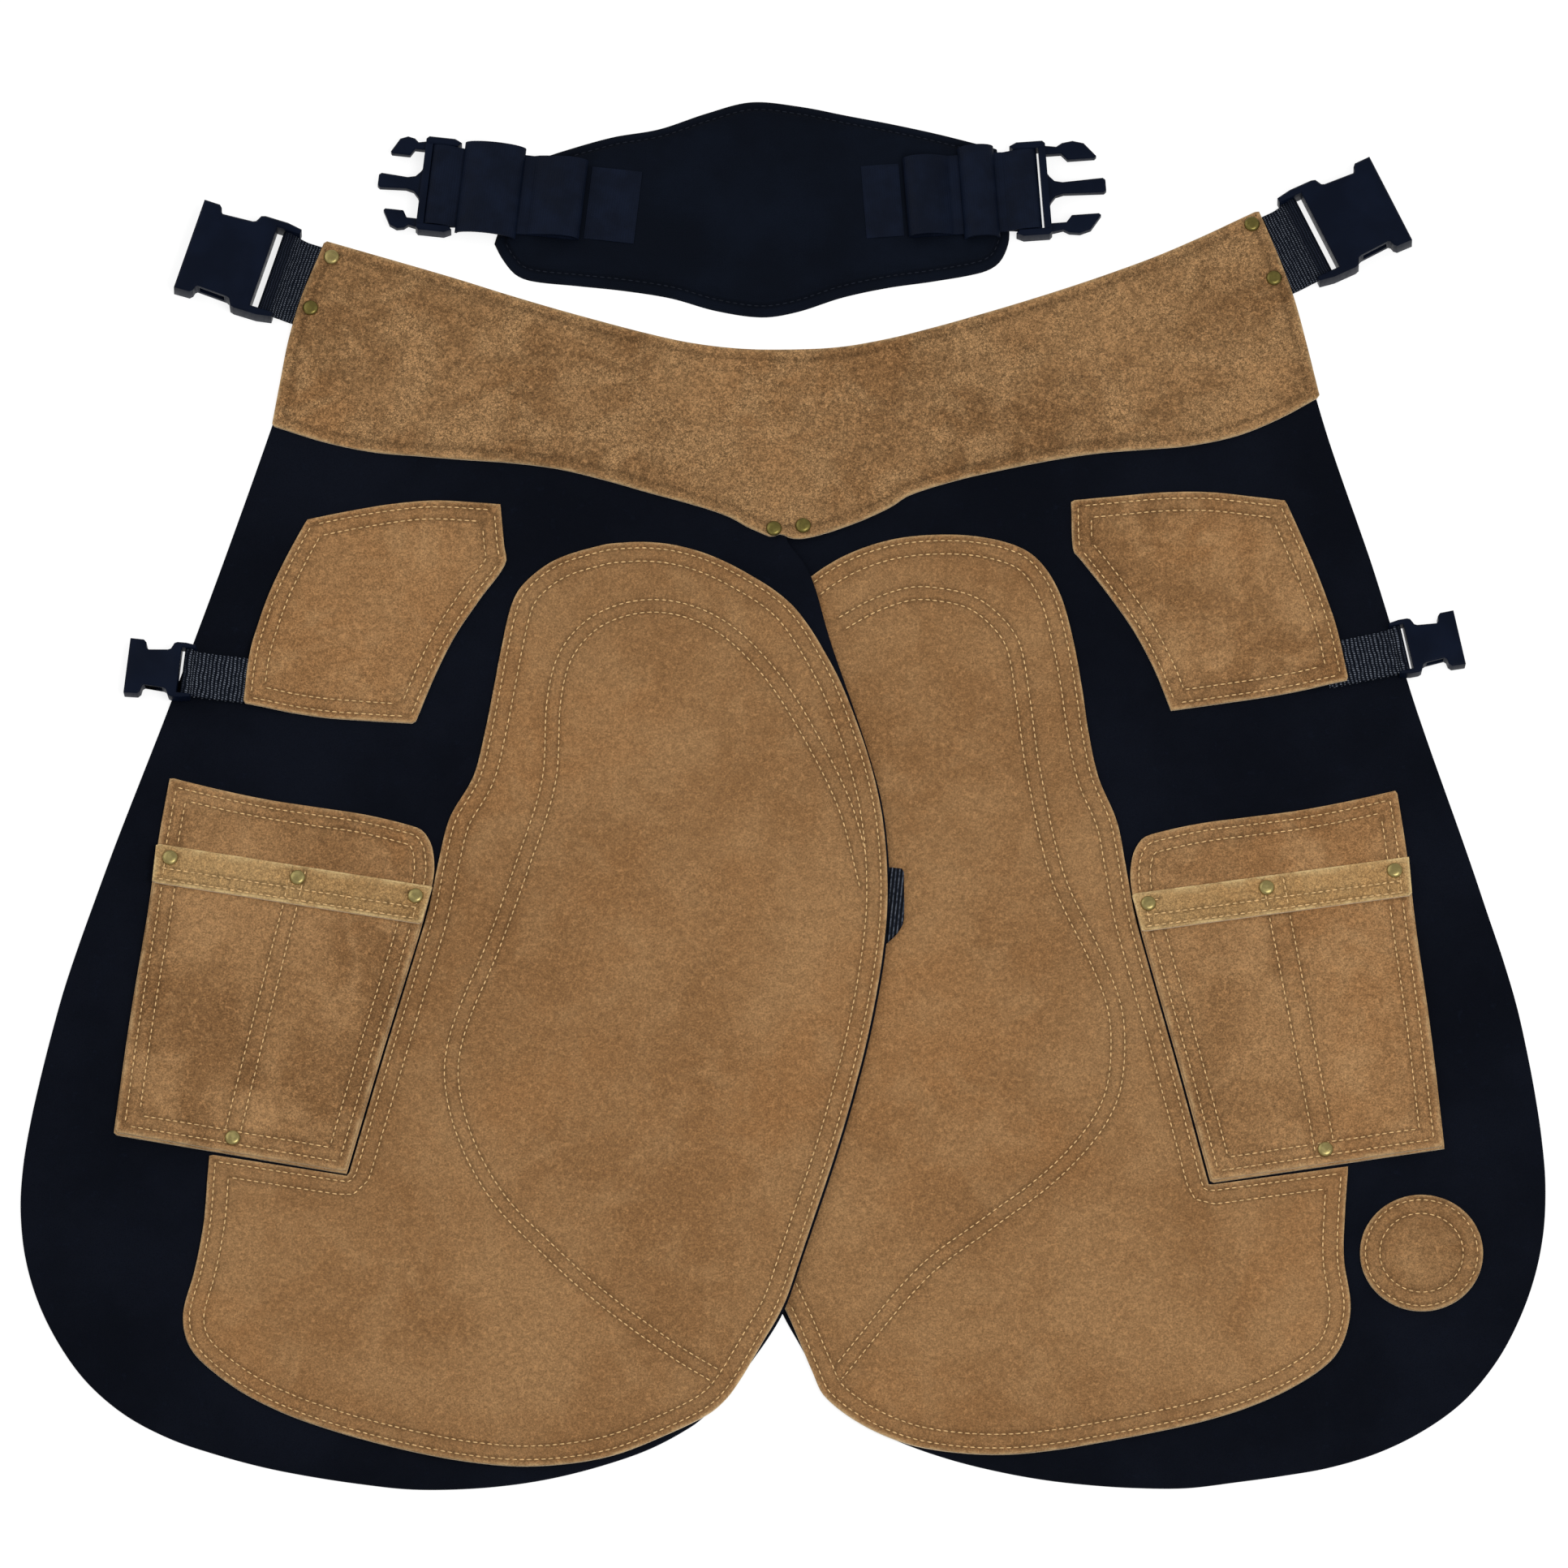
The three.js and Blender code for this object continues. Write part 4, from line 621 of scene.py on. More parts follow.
class Finish:
    """Node tree of one material, built from the shader backwards."""

    def __init__(self, name, roughness, metallic=0.0, specular=0.5):
        self.material = bpy.data.materials.new(name)
        self.material.use_nodes = True
        self.tree = self.material.node_tree
        self.shader = self.tree.nodes["Principled BSDF"]
        self.shader.inputs["Roughness"].default_value = roughness
        self.shader.inputs["Metallic"].default_value = metallic
        self.shader.inputs["Specular IOR Level"].default_value = specular
        self.place = self.add("ShaderNodeTexCoord").outputs["Object"]

    def add(self, kind, **settings):
        node = self.tree.nodes.new(kind)
        for key, value in settings.items():
            setattr(node, key, value)
        return node

    def feed(self, node, values):
        for key, value in values.items():
            socket = node.inputs[key]
            if isinstance(value, bpy.types.NodeSocket):
                self.tree.links.new(value, socket)
            else:
                socket.default_value = value
        return node

    def noise(self, scale, detail=3.0, rough=0.55, place=None, distortion=0.0):
        node = self.add("ShaderNodeTexNoise")
        self.feed(node, {
            "Vector": place or self.place, "Scale": scale, "Detail": detail,
            "Roughness": rough, "Distortion": distortion,
        })
        return node.outputs["Fac"]

    def cells(self, scale, place=None, feature="F1", randomness=1.0):
        node = self.add("ShaderNodeTexVoronoi", feature=feature)
        self.feed(node, {"Vector": place or self.place, "Scale": scale, "Randomness": randomness})
        return node.outputs["Distance"]

    def maths(self, operation, a, b=0.0):
        node = self.add("ShaderNodeMath", operation=operation)
        self.feed(node, {0: a, 1: b})
        return node.outputs[0]

    def times(self, a, b):
        return self.maths("MULTIPLY", a, b)

    def plus(self, a, b):
        return self.maths("ADD", a, b)

    def wave(self, along, pitch):
        """Between -1 and 1, with one wave to each pitch."""
        return self.maths("COSINE", self.times(along, math.tau / pitch))

    def parts(self, vector):
        return self.feed(self.add("ShaderNodeSeparateXYZ"), {0: vector}).outputs

    def spread(self, value, low, high, to_low=0.0, to_high=1.0):
        node = self.add("ShaderNodeMapRange", interpolation_type="SMOOTHSTEP")
        self.feed(node, {
            "Value": value, "From Min": low, "From Max": high, "To Min": to_low, "To Max": to_high,
        })
        return node.outputs["Result"]

    def mix(self, amount, a, b, blend="MIX"):
        node = self.add("ShaderNodeMix", data_type="RGBA", blend_type=blend)
        self.feed(node, {0: amount, 6: a, 7: b})
        return node.outputs[2]

    def attribute(self, name):
        return self.add("ShaderNodeAttribute", attribute_name=name).outputs["Fac"]

    def uv(self):
        return self.add("ShaderNodeUVMap", uv_map="UVMap").outputs["UV"]

    def stretched(self, scale, turn):
        node = self.add("ShaderNodeMapping")
        self.feed(node, {"Vector": self.place, "Scale": scale, "Rotation": (0.0, 0.0, turn)})
        return node.outputs["Vector"]

    def warped(self, reach, scale):
        """The place moved about by noise, for uneven cells."""
        noise = self.add("ShaderNodeTexNoise")
        self.feed(noise, {"Vector": self.place, "Scale": scale, "Detail": 2.0})
        push = self.add("ShaderNodeVectorMath", operation="SCALE")
        self.feed(push, {0: noise.outputs["Color"], "Scale": reach})
        total = self.add("ShaderNodeVectorMath", operation="ADD")
        self.feed(total, {0: self.place, 1: push.outputs[0]})
        return total.outputs[0]

    def colour(self, socket):
        self.tree.links.new(socket, self.shader.inputs["Base Color"])

    def roughness(self, socket):
        self.tree.links.new(socket, self.shader.inputs["Roughness"])

    def bump(self, height, depth, strength):
        node = self.add("ShaderNodeBump")
        self.feed(node, {"Height": height, "Distance": depth, "Strength": strength})
        self.tree.links.new(node.outputs["Normal"], self.shader.inputs["Normal"])

    def sheen(self, weight, roughness, tint):
        self.shader.inputs["Sheen Weight"].default_value = weight
        self.shader.inputs["Sheen Roughness"].default_value = roughness
        self.shader.inputs["Sheen Tint"].default_value = (*tint, 1)


def shade(colour, factor, warm=0.0):
    """The colour darker or lighter, and redder for a positive warmth."""
    r, g, b = colour[:3]
    return (
        min(r * factor * (1 + warm), 1), min(g * factor, 1), min(b * factor * (1 - warm), 1), 1,
    )


def suede_finish(name, colour, coarse, blotch, crackle=0.0):
    f = Finish(name, 0.95, specular=0.1)
    broad = f.noise(8, 4, 0.62, distortion=0.5)
    hue = f.noise(5, 3, 0.6, distortion=0.8)
    patch = f.noise(30, 5, 0.66, distortion=0.5)
    clump = f.noise(330, 5, 0.7, distortion=0.4)
    nap = f.noise(820, 3, 0.7)
    fibre = f.noise(2300, 2, 0.6)
    base = f.mix(f.spread(broad, 0.36, 0.66), shade(colour, 1 - 0.16 * blotch, 0.05),
                 shade(colour, 1 + 0.13 * blotch, -0.03))
    base = f.mix(f.spread(hue, 0.48, 0.64, 0, 0.6), base, shade(colour, 0.97, 0.09))
    base = f.mix(f.spread(patch, 0.42, 0.70, 0, 0.6 * blotch), base,
                 shade(colour, 1.0 + 0.22 * blotch, -0.05))
    tone = f.spread(clump, 0.36, 0.64, 1 - 0.11 * coarse, 1 + 0.11 * coarse)
    for value, weight in ((nap, 0.20), (fibre, 0.21)):
        speck = f.spread(value, 0.32, 0.68, 1 - weight * coarse, 1 + weight * coarse)
        tone = f.times(tone, speck)
    # Painted shade: darker along the seams' stitched grooves, and faintly darker in the valleys beside
    # them.
    seam = f.attribute("seam")
    valley = f.attribute("valley")
    tone = f.times(tone, f.spread(seam, 0.0, 1.0, 1.0, 0.70))
    tone = f.times(tone, f.spread(valley, 0.0, 1.0, 1.0, 0.98))
    if crackle:
        cracks = f.cells(620, f.warped(0.004, 160), "DISTANCE_TO_EDGE")
        crack = f.times(f.spread(cracks, 0.02, 0.16, crackle, 0.0),
                        f.spread(patch, 0.38, 0.60))
        tone = f.times(tone, f.maths("SUBTRACT", 1.0, crack))
    grey = f.add("ShaderNodeCombineColor")
    f.feed(grey, {0: tone, 1: tone, 2: tone})
    base = f.mix(1.0, base, grey.outputs[0], "MULTIPLY")
    gold = f.times(f.spread(clump, 0.50, 0.66), f.spread(nap, 0.46, 0.64, 0, 0.55))
    base = f.mix(f.times(gold, min(coarse, 1.6)), base, shade(colour, 1.65, 0.02))
    frayed = f.times(f.spread(nap, 0.3, 0.6, 0.5, 1.0),
                     f.spread(f.noise(90, 3, 0.6), 0.42, 0.58, 0.35, 1.0))
    rim = f.times(f.attribute("rim"), frayed)
    f.colour(f.mix(rim, base, shade(colour, 2.5, -0.20)))
    pucker = f.times(f.noise(240, 3, 0.6), f.times(valley, 1.4))
    relief = f.plus(f.times(clump, 0.6), f.times(nap, 0.8))
    relief = f.plus(relief, f.times(fibre, 0.3))
    f.bump(f.plus(relief, pucker), 0.0007 * min(coarse, 1.8), 0.55)
    f.sheen(0.2, 0.6, shade(colour, 2.2)[:3])
    return f.material


def raw_edge_finish(name, colour):
    f = Finish(name, 0.95, specular=0.1)
    fibre = f.noise(900, 4, 0.7)
    layer = f.noise(90, 3)
    base = f.mix(f.spread(fibre, 0.3, 0.7), shade(colour, 0.68), shade(colour, 1.12))
    f.colour(f.mix(f.spread(layer, 0.4, 0.7, 0, 0.4), base, shade(colour, 0.55, 0.05)))
    f.bump(fibre, 0.0005, 0.6)
    return f.material


def leather_finish(name, colour):
    f = Finish(name, 0.7, specular=0.02)
    cloud = f.noise(9, 5, 0.6)
    grain = f.cells(1100)
    pore = f.noise(1400, 3, 0.6)
    wear = f.noise(170, 6, 0.75)
    base = f.mix(f.spread(cloud, 0.35, 0.68), shade(colour, 0.8), shade(colour, 1.25))
    base = f.mix(f.spread(wear, 0.55, 0.78, 0, 0.35), base, shade(colour, 2.4, -0.05))
    f.colour(f.mix(f.spread(grain, 0.1, 0.5, 0.45, 0), base, shade(colour, 0.6)))
    f.roughness(f.spread(wear, 0.3, 0.7, 0.6, 0.82))
    f.bump(f.plus(grain, f.times(pore, 0.5)), 0.00025, 0.5)
    return f.material


def web_finish(name, colour, fleck, amount=1.0, pitch=0.0022, bead=0.0013):
    f = Finish(name, 0.8, specular=0.05)
    u, v = f.parts(f.uv())[:2]
    waver = f.times(f.spread(f.noise(170, 2, 0.5), 0.3, 0.7, -1.0, 1.0), 0.9)
    along = f.plus(f.times(u, math.tau / pitch), waver)
    across = f.times(v, math.tau / bead)
    across = f.plus(across, f.times(along, 0.5))
    rib = f.maths("COSINE", along)
    yarn = f.maths("COSINE", across)
    wear = f.noise(620, 3, 0.65)
    beads = f.times(f.spread(rib, -0.35, 0.75), f.spread(yarn, -0.55, 0.65))
    worn = f.spread(wear, 0.36, 0.60, 0.25, amount)
    # Where the strap lies flat round the bar its rib bump goes, and its pale flecks are left out as
    # painted shade.
    ribbed_unshaded = f.spread(f.attribute("flat_and_shaded"), 0.0, 1.0, 1.0, 0.12)
    flecks = f.times(f.times(beads, worn), ribbed_unshaded)
    base = f.mix(f.spread(rib, -0.9, 0.6), shade(colour, 0.45), shade(colour, 1.2))
    f.colour(f.mix(flecks, base, (*fleck, 1)))
    f.bump(f.times(beads, ribbed_unshaded), 0.0004, 0.6)
    return f.material


def smooth_web_finish(name, colour):
    """Dense flat weave with a dull shine."""
    f = Finish(name, 0.5, specular=0.06)
    u, v = f.parts(f.uv())[:2]
    cord = f.wave(u, 0.0014)
    yarn = f.wave(v, 0.0010)
    cloud = f.noise(50, 4, 0.6)
    lint = f.noise(330, 6, 0.8)
    base = f.mix(f.spread(cloud, 0.35, 0.68), shade(colour, 0.8), shade(colour, 1.35))
    base = f.mix(f.spread(cord, -1.0, 1.0, 0.25, 0), base, shade(colour, 0.6))
    f.colour(f.mix(f.spread(lint, 0.72, 0.80, 0, 0.4), base, shade(colour, 6.0)))
    f.roughness(f.spread(cloud, 0.3, 0.7, 0.46, 0.62))
    f.bump(f.plus(cord, f.times(yarn, 0.6)), 0.00008, 0.4)
    return f.material


def elastic_finish(name, colour, fleck):
    """Elastic with fine cords along its length."""
    f = Finish(name, 0.75, specular=0.1)
    cord = f.wave(f.parts(f.stretched((1.0, 1.0, 1.0), turn=0.1))[0], CORD_PITCH)
    wear = f.noise(500, 3, 0.6)
    base = f.mix(f.spread(cord, -0.8, 0.8), shade(colour, 0.35), shade(colour, 1.5))
    crown = f.times(f.spread(cord, 0.2, 1.0), f.spread(wear, 0.40, 0.62, 0.05, 0.6))
    f.colour(f.mix(crown, base, (*fleck, 1)))
    f.bump(cord, 0.0004, 0.7)
    return f.material


def belt_finish(name, colour):
    f = Finish(name, 0.85, specular=0.04)
    cloud = f.noise(14, 4, 0.6)
    knit = f.cells(1300, randomness=0.35)
    lint = f.noise(260, 6, 0.8)
    base = f.mix(f.spread(cloud, 0.35, 0.68), shade(colour, 0.8), shade(colour, 1.3))
    base = f.mix(f.spread(knit, 0.15, 0.6, 0.35, 0), base, shade(colour, 0.5))
    # Painted shade along the stitched grooves of the seam rows.
    base = f.mix(f.times(f.attribute("seam"), 0.6), base, shade(colour, 0.4))
    f.colour(f.mix(f.spread(lint, 0.73, 0.80, 0, 0.4), base, (0.12, 0.14, 0.17, 1)))
    f.roughness(f.spread(cloud, 0.3, 0.7, 0.78, 0.9))
    f.bump(knit, 0.0003, 0.5)
    return f.material


def plastic_finish(name, colour):
    f = Finish(name, 0.3, specular=0.05)
    cloud = f.noise(40, 3, 0.5)
    spark = f.noise(2600, 2, 0.5)
    scuff = f.noise(90, 6, 0.8, place=f.stretched((6.0, 1.0, 1.0), turn=0.6))
    f.colour(f.mix(f.spread(cloud, 0.35, 0.7), shade(colour, 0.85), shade(colour, 1.2)))
    f.roughness(f.spread(scuff, 0.45, 0.72, 0.36, 0.50))
    f.bump(spark, 0.00006, 0.4)
    return f.material


def brass_finish(name, colour):
    f = Finish(name, 0.3, metallic=0.85)
    patina = f.noise(300, 4, 0.65)
    cloud = f.noise(60, 3, 0.5)
    base = f.mix(f.spread(patina, 0.42, 0.70), shade(colour, 0.8, 0.02), shade(colour, 1.12))
    f.colour(f.mix(f.spread(cloud, 0.4, 0.65, 0, 0.35), base, shade(colour, 0.7, 0.06)))
    f.roughness(f.spread(patina, 0.3, 0.7, 0.24, 0.38))
    f.bump(patina, 0.00005, 0.35)
    return f.material


def thread_finish(name, colour):
    f = Finish(name, 0.8, specular=0.2)
    tone = f.noise(320, 3, 0.6)
    strand = f.noise(2600, 2, 0.5)
    base = f.mix(f.spread(tone, 0.35, 0.65), shade(colour, 0.78), shade(colour, 1.18))
    f.colour(f.mix(f.spread(strand, 0.3, 0.7, 0.4, 0), base, shade(colour, 0.6)))
    f.bump(strand, 0.0001, 0.5)
    return f.material


def floor_finish(name, colour):
    """Pale table that glows softly from within."""
    f = Finish(name, 0.9, specular=0.05)
    tone = f.noise(2, 2)
    f.colour(f.mix(f.spread(tone, 0.3, 0.7), shade(colour, 0.34), shade(colour, 0.36)))
    f.shader.inputs["Emission Color"].default_value = (1, 1, 1, 1)
    f.shader.inputs["Emission Strength"].default_value = 0.78
    return f.material


def finish_for(name):
    """The material of that name, made the first time it is asked for."""
    known = bpy.data.materials.get(name)
    if known:
        return known
    c = bpy.context.scene.apron_colours
    makers = {
        "panel_leather": lambda: leather_finish(name, c.leather),
        "panel_edge": lambda: leather_finish(name, shade(c.leather, 1.6)[:3]),
        "pad_suede": lambda: suede_finish(name, c.suede, 1.15, 1.1),
        "yoke_suede": lambda: suede_finish(name, shade(c.suede, 1.02, -0.02)[:3], 1.95, 2.1, 0.4),
        "round_suede": lambda: suede_finish(name, shade(c.suede, 0.9)[:3], 1.35, 1.3),
        "pocket_suede": lambda: suede_finish(name, c.suede, 1.45, 1.7),
        "pale_suede": lambda: suede_finish(name, c.pale_suede, 1.5, 1.1),
        "raw_edge": lambda: raw_edge_finish(name, c.raw_edge),
        "strap_webbing": lambda: web_finish(name, c.webbing, c.fleck),
        "waist_webbing": lambda: web_finish(name, c.webbing, c.fleck, 0.8, 0.0017, 0.0012),
        "belt_webbing": lambda: smooth_web_finish(name, c.belt_webbing),
        "elastic": lambda: elastic_finish(name, c.webbing, c.fleck),
        "belt_cover": lambda: belt_finish(name, c.belt),
        "buckle_plastic": lambda: plastic_finish(name, c.plastic),
        "rivet_brass": lambda: brass_finish(name, c.brass),
        "dull_brass": lambda: brass_finish(name, c.dull_brass),
        "tan_thread": lambda: thread_finish(name, c.thread),
        "dark_thread": lambda: thread_finish(name, shade(c.webbing, 1.3)[:3]),
        "pale_floor": lambda: floor_finish(name, c.floor),
    }
    return makers[name]()


# Sizes and colours that a user would change

def length(label, text, metres):
    return FloatProperty(
        name=label, description=text, default=metres, min=0.0, subtype="DISTANCE", unit="LENGTH",
        precision=5,
    )


def tint(label, text, red, green, blue):
    """Colour property given as screen values from 0 to 255."""
    linear = [
        v / 12.92 if v <= 0.04045 else ((v + 0.055) / 1.055) ** 2.4
        for v in (red / 255, green / 255, blue / 255)
    ]
    return FloatVectorProperty(
        name=label, description=text, default=linear, min=0.0, max=1.0, size=3, subtype="COLOR",
    )


class ApronSizes(bpy.types.PropertyGroup):
    """Sizes of the sewing and of the soft relief."""

    stitch_length: length("Stitch length", "Length of one stitch", 0.0028)
    stitch_pitch: length("Stitch pitch", "From one stitch to the next", 0.0040)
    stitch_width: length("Stitch width", "Thickness of the thread", 0.00076)
    twin_row: length("Twin rows", "From the middle of a double seam to each row", 0.0038)
    groove_depth: length("Groove depth", "How deep a seam pulls the suede in", 0.0007)
    pad_puff: length("Pad puff", "How far the knee pads puff up between seams", 0.0022)
    suede_waves: length("Suede waves", "Height of the gentle waves in the suede", 0.0004)
    leather_waves: length("Leather waves", "Height of the gentle waves in the leather", 0.0003)
    rib_pitch: length("Rib pitch", "From one rib of the webbing to the next", 0.0022)


class ApronColours(bpy.types.PropertyGroup):
    """Colours of the materials."""

    leather: tint("Leather", "Leg panels", 12, 15, 23)
    suede: tint("Suede", "Pads, yoke, patches and pockets", 142, 106, 69)
    pale_suede: tint("Pale suede", "Pocket bands", 160, 126, 82)
    raw_edge: tint("Raw edge", "Cut edges of the suede", 214, 192, 160)
    webbing: tint("Webbing", "Waist and leg straps", 15, 20, 31)
    belt_webbing: tint("Belt webbing", "Straps, keepers and patches of the belt", 12, 19, 34)
    fleck: tint("Fleck", "Pale flecks in the webbing", 112, 118, 128)
    belt: tint("Belt cloth", "Padded back belt", 11, 16, 26)
    plastic: tint("Plastic", "Buckles", 10, 17, 32)
    brass: tint("Brass", "Rivet caps", 164, 150, 96)
    dull_brass: tint("Dull brass", "Lower rivet caps of the yoke", 116, 106, 54)
    thread: tint("Thread", "Stitching of the suede", 236, 196, 138)
    floor: tint("Floor", "Plain floor", 246, 246, 246)


# Operators

class PieceOperator:
    bl_options = {"REGISTER"}

    def execute(self, context):
        self.make(context)
        return {"FINISHED"}


SHEETS = {}


def made(name):
    """A sheet made by an earlier operator."""
    if name not in SHEETS:
        raise RuntimeError(f"make {name} first")
    return SHEETS[name]


def sewn_down(sheet, rows, name, stitches, finish, step, slot):
    """Makes the sheet a suede piece with a raw edge, and its rows of stitches."""
    piece = sheet.piece(name, (finish, "raw_edge"), step, slot)
    laid(sheet)
    stitched(stitches, rows, sheet.top)


class APRON_OT_leg_panels(PieceOperator, bpy.types.Operator):
    """Two leather leg panels; the left one climbs over the right one"""

    bl_idname = "apron.leg_panels"
    bl_label = "Leg panels"

    def make(self, context):
        sizes = context.scene.apron_sizes
        for side, seed in zip(SIDES, (11, 12)):
            node = f"leg_panel_{side}"
            loop = outline(node)
            # The legs reach towards each other under the yoke's tip, where they meet
            near = smooth_step(1 - np.linalg.norm(loop - YOKE_TIP, axis=1) / 0.012)
            loop[:, 0] += near * (0.003 if side == "left" else -0.003)
            sheet = Sheet(node, PANEL, loop=loop, waves=sizes.leather_waves, wave=(0.22, 0.09),
                          seed=seed, edge=0.0008)
            SHEETS[node] = sheet
            piece = sheet.piece(
                f"leg_leather_{side}", ("panel_leather", "panel_edge"), step=0.0075,
                slot="leather",
            )
            laid(sheet)


class APRON_OT_yoke(PieceOperator, bpy.types.Operator):
    """Suede waistband that holds the legs together"""

    bl_idname = "apron.yoke"
    bl_label = "Waist yoke"

    def make(self, context):
        sizes = context.scene.apron_sizes
        loop = outline("waist_yoke")
        rows = rows_inside(loop, 0.006)
        sheet = Sheet("waist_yoke", SUEDE, rows=rows, groove=0.0004, waves=sizes.suede_waves,
                      wave=(0.12, 0.035), seed=21)
        piece = sheet.piece("yoke_suede", ("yoke_suede", "raw_edge"), step=0.0048, slot="suede")
        laid(sheet)


class APRON_OT_knee_pads(PieceOperator, bpy.types.Operator):
    """Suede knee pads, puffed between double seams"""

    bl_idname = "apron.knee_pads"
    bl_label = "Knee pads"

    def make(self, context):
        sizes = context.scene.apron_sizes
        left_leg = made("leg_panel_left")

        def covered(points):
            return inside(points, left_leg.loop) | (left_leg.rim.distance(points) < 0.001)

        for side, seed in zip(SIDES, (31, 32)):
            node = f"knee_pad_{side}"
            loop = outline(node)
            line = resampled(curve_through([spot(*p) for p in PAD_SEAMS[side]]), SEAM_STEP)
            seams = [moved_sideways(line, s * sizes.twin_row) for s in (-1, 1)]
            kept = [row[inside(row, loop) & (distance(row, loop, True) > 0.011)] for row in seams]
            rows = [row for row in kept if len(row) > 3]
            rows += rows_inside(loop, 0.0036) + rows_inside(loop, 0.0115)

            def calm_under_leg(points, from_edge, from_seam, side=side):
                if side == "left":
                    return 0
                under = smooth_step(left_leg.rim.distance(points) / 0.012 + 0.6)
                under = np.where(inside(points, left_leg.loop), under, 0)
                puff = sizes.pad_puff * swell(np.minimum(from_edge, from_seam), PAD_REACH)
                return -0.75 * under * puff

            sheet = Sheet(node, 0.0020, rows=rows, puff=sizes.pad_puff, reach=PAD_REACH,
                          groove=sizes.groove_depth, waves=sizes.suede_waves, seed=seed,
                          extra=calm_under_leg)
            SHEETS[node] = sheet
            piece = sheet.piece(f"pad_suede_{side}", ("pad_suede", "raw_edge"), step=0.0058,
                                slot="suede")
            stitched(f"pad_stitches_{side}", rows, sheet.top,
                     covered=covered if side == "right" else None)


class APRON_OT_strap_patches(PieceOperator, bpy.types.Operator):
    """Suede patches sewn over the ends of the leg straps"""

    bl_idname = "apron.strap_patches"
    bl_label = "Strap patches"

    def make(self, context):
        sizes = context.scene.apron_sizes
        for side, seed in zip(SIDES, (41, 42)):
            node = f"strap_patch_{side}"
            loop = outline(node)
            rows = rows_inside(loop, 0.0038) + rows_inside(loop, 0.011)
            sheet = Sheet(node, SUEDE, rows=rows, puff=0.0009, reach=0.012,
                          groove=sizes.groove_depth, waves=sizes.suede_waves, seed=seed,
                          wave=(0.09, 0.03))
            sewn_down(sheet, rows, f"patch_suede_{side}", f"patch_stitches_{side}",
                      "pocket_suede", 0.0048, "suede")


class APRON_OT_pockets(PieceOperator, bpy.types.Operator):
    """Tool pockets: backing, front and the pale band along the mouth"""

    bl_idname = "apron.pockets"
    bl_label = "Pockets"

    def make(self, context):
        sizes = context.scene.apron_sizes
        for side, seed in zip(SIDES, (51, 54)):
            band_loop = outline(f"pocket_band_{side}")
            front_loop = outline(f"pocket_front_{side}")
            back_loop = outline(f"pocket_back_{side}")
            back_rows = []
            for row in rows_inside(back_loop, 0.0047) + rows_inside(back_loop, 0.0110):
                back_rows += runs(row, ~inside(row, front_loop) & ~inside(row, band_loop))
            backing = Sheet(f"pocket_back_{side}", SUEDE, rows=back_rows, puff=0.0005,
                            reach=0.008, waves=sizes.suede_waves, seed=seed, wave=(0.08, 0.03))
            sewn_down(backing, back_rows, f"pocket_backing_{side}", f"backing_stitches_{side}",
                      "pocket_suede", 0.0048, "suede")

            lower_row, near_ends = row_above_lower_edge(band_loop, 0.009)
            edge_row = row_above_lower_edge(band_loop, 0.0025)[0]
            mouth = Lines([band_loop], closed=True)
            rows, band_rows = [], [lower_row, edge_row]
            for row in rows_inside(front_loop, 0.0047) + rows_inside(front_loop, 0.012):
                row = resampled(row, ROW_STEP)
                on_band = inside(row, band_loop)
                rows += runs(row, ~on_band)
                band_rows += runs(row, on_band & near_ends(row) & (mouth.distance(row) > 0.002))
            for top, base in POCKET_SEAMS[side]:
                top, base = np.array(top), np.array(base)
                above = top + (top - base) / np.linalg.norm(top - base) * 0.028
                row = resampled((above, base), ROW_STEP)
                on_band = inside(row, band_loop)
                rows += runs(row, ~on_band & inside(row, front_loop) & (row[:, 1] < top[1] + 0.002))
                band_rows += runs(row, on_band & (mouth.distance(row) > 0.002))

            def under_band(points, from_edge, from_seam, mouth=mouth, band_loop=band_loop):
                near = mouth.distance(points)
                depth = np.where(inside(points, band_loop), 0, near)
                bulge = swell(np.minimum(from_edge, from_seam), 0.011, 1.5)
                return 0.0016 * bulge * smooth_step(depth / 0.014)

            front = Sheet(f"pocket_front_{side}", SUEDE, rows=rows, groove=sizes.groove_depth,
                          waves=sizes.suede_waves, seed=seed + 1, wave=(0.08, 0.03),
                          extra=under_band)
            sewn_down(front, rows, f"pocket_face_{side}", f"pocket_stitches_{side}",
                      "pocket_suede", 0.0046, "suede")

            band = Sheet(f"pocket_band_{side}", SUEDE, rows=band_rows, puff=0.0004, reach=0.005,
                         groove=0.0005, waves=0.0002, seed=seed + 2, wave=(0.05, 0.02),
                         edge=0.0004, fray=0.0014)
            sewn_down(band, band_rows, f"pocket_strip_{side}", f"band_stitches_{side}",
                      "pale_suede", 0.0040, "suede_band")


class APRON_OT_pouch(PieceOperator, bpy.types.Operator):
    """Round magnet pouch on the right leg"""

    bl_idname = "apron.pouch"
    bl_label = "Magnet pouch"

    def make(self, context):
        sizes = context.scene.apron_sizes
        low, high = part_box("magnet_pouch")
        middle = np.array(((low[0] + high[0]) / 2, (low[1] + high[1]) / 2))
        radius = (high[0] - low[0]) / 2

        def ring(r):
            angle = np.linspace(0, math.tau, 120, endpoint=False)
            return middle + r * np.stack((np.cos(angle), np.sin(angle)), axis=1)

        rows = [np.vstack((ring(r), ring(r)[:1])) for r in (radius - 0.003, radius - 0.011)]

        def dome(points, from_edge, from_seam):
            return 0.0030 * smooth_step((from_edge - 0.011) / 0.006)

        sheet = Sheet("magnet_pouch", SUEDE, loop=ring(radius), rows=rows, puff=0.0008,
                      reach=0.006, groove=sizes.groove_depth, waves=0.0002, seed=61,
                      wave=(0.05, 0.02), extra=dome)
        piece = sheet.piece("pouch_suede", ("round_suede", "raw_edge"), step=0.0040,
                            slot="suede")
        stitched("pouch_stitches", rows, sheet.top)


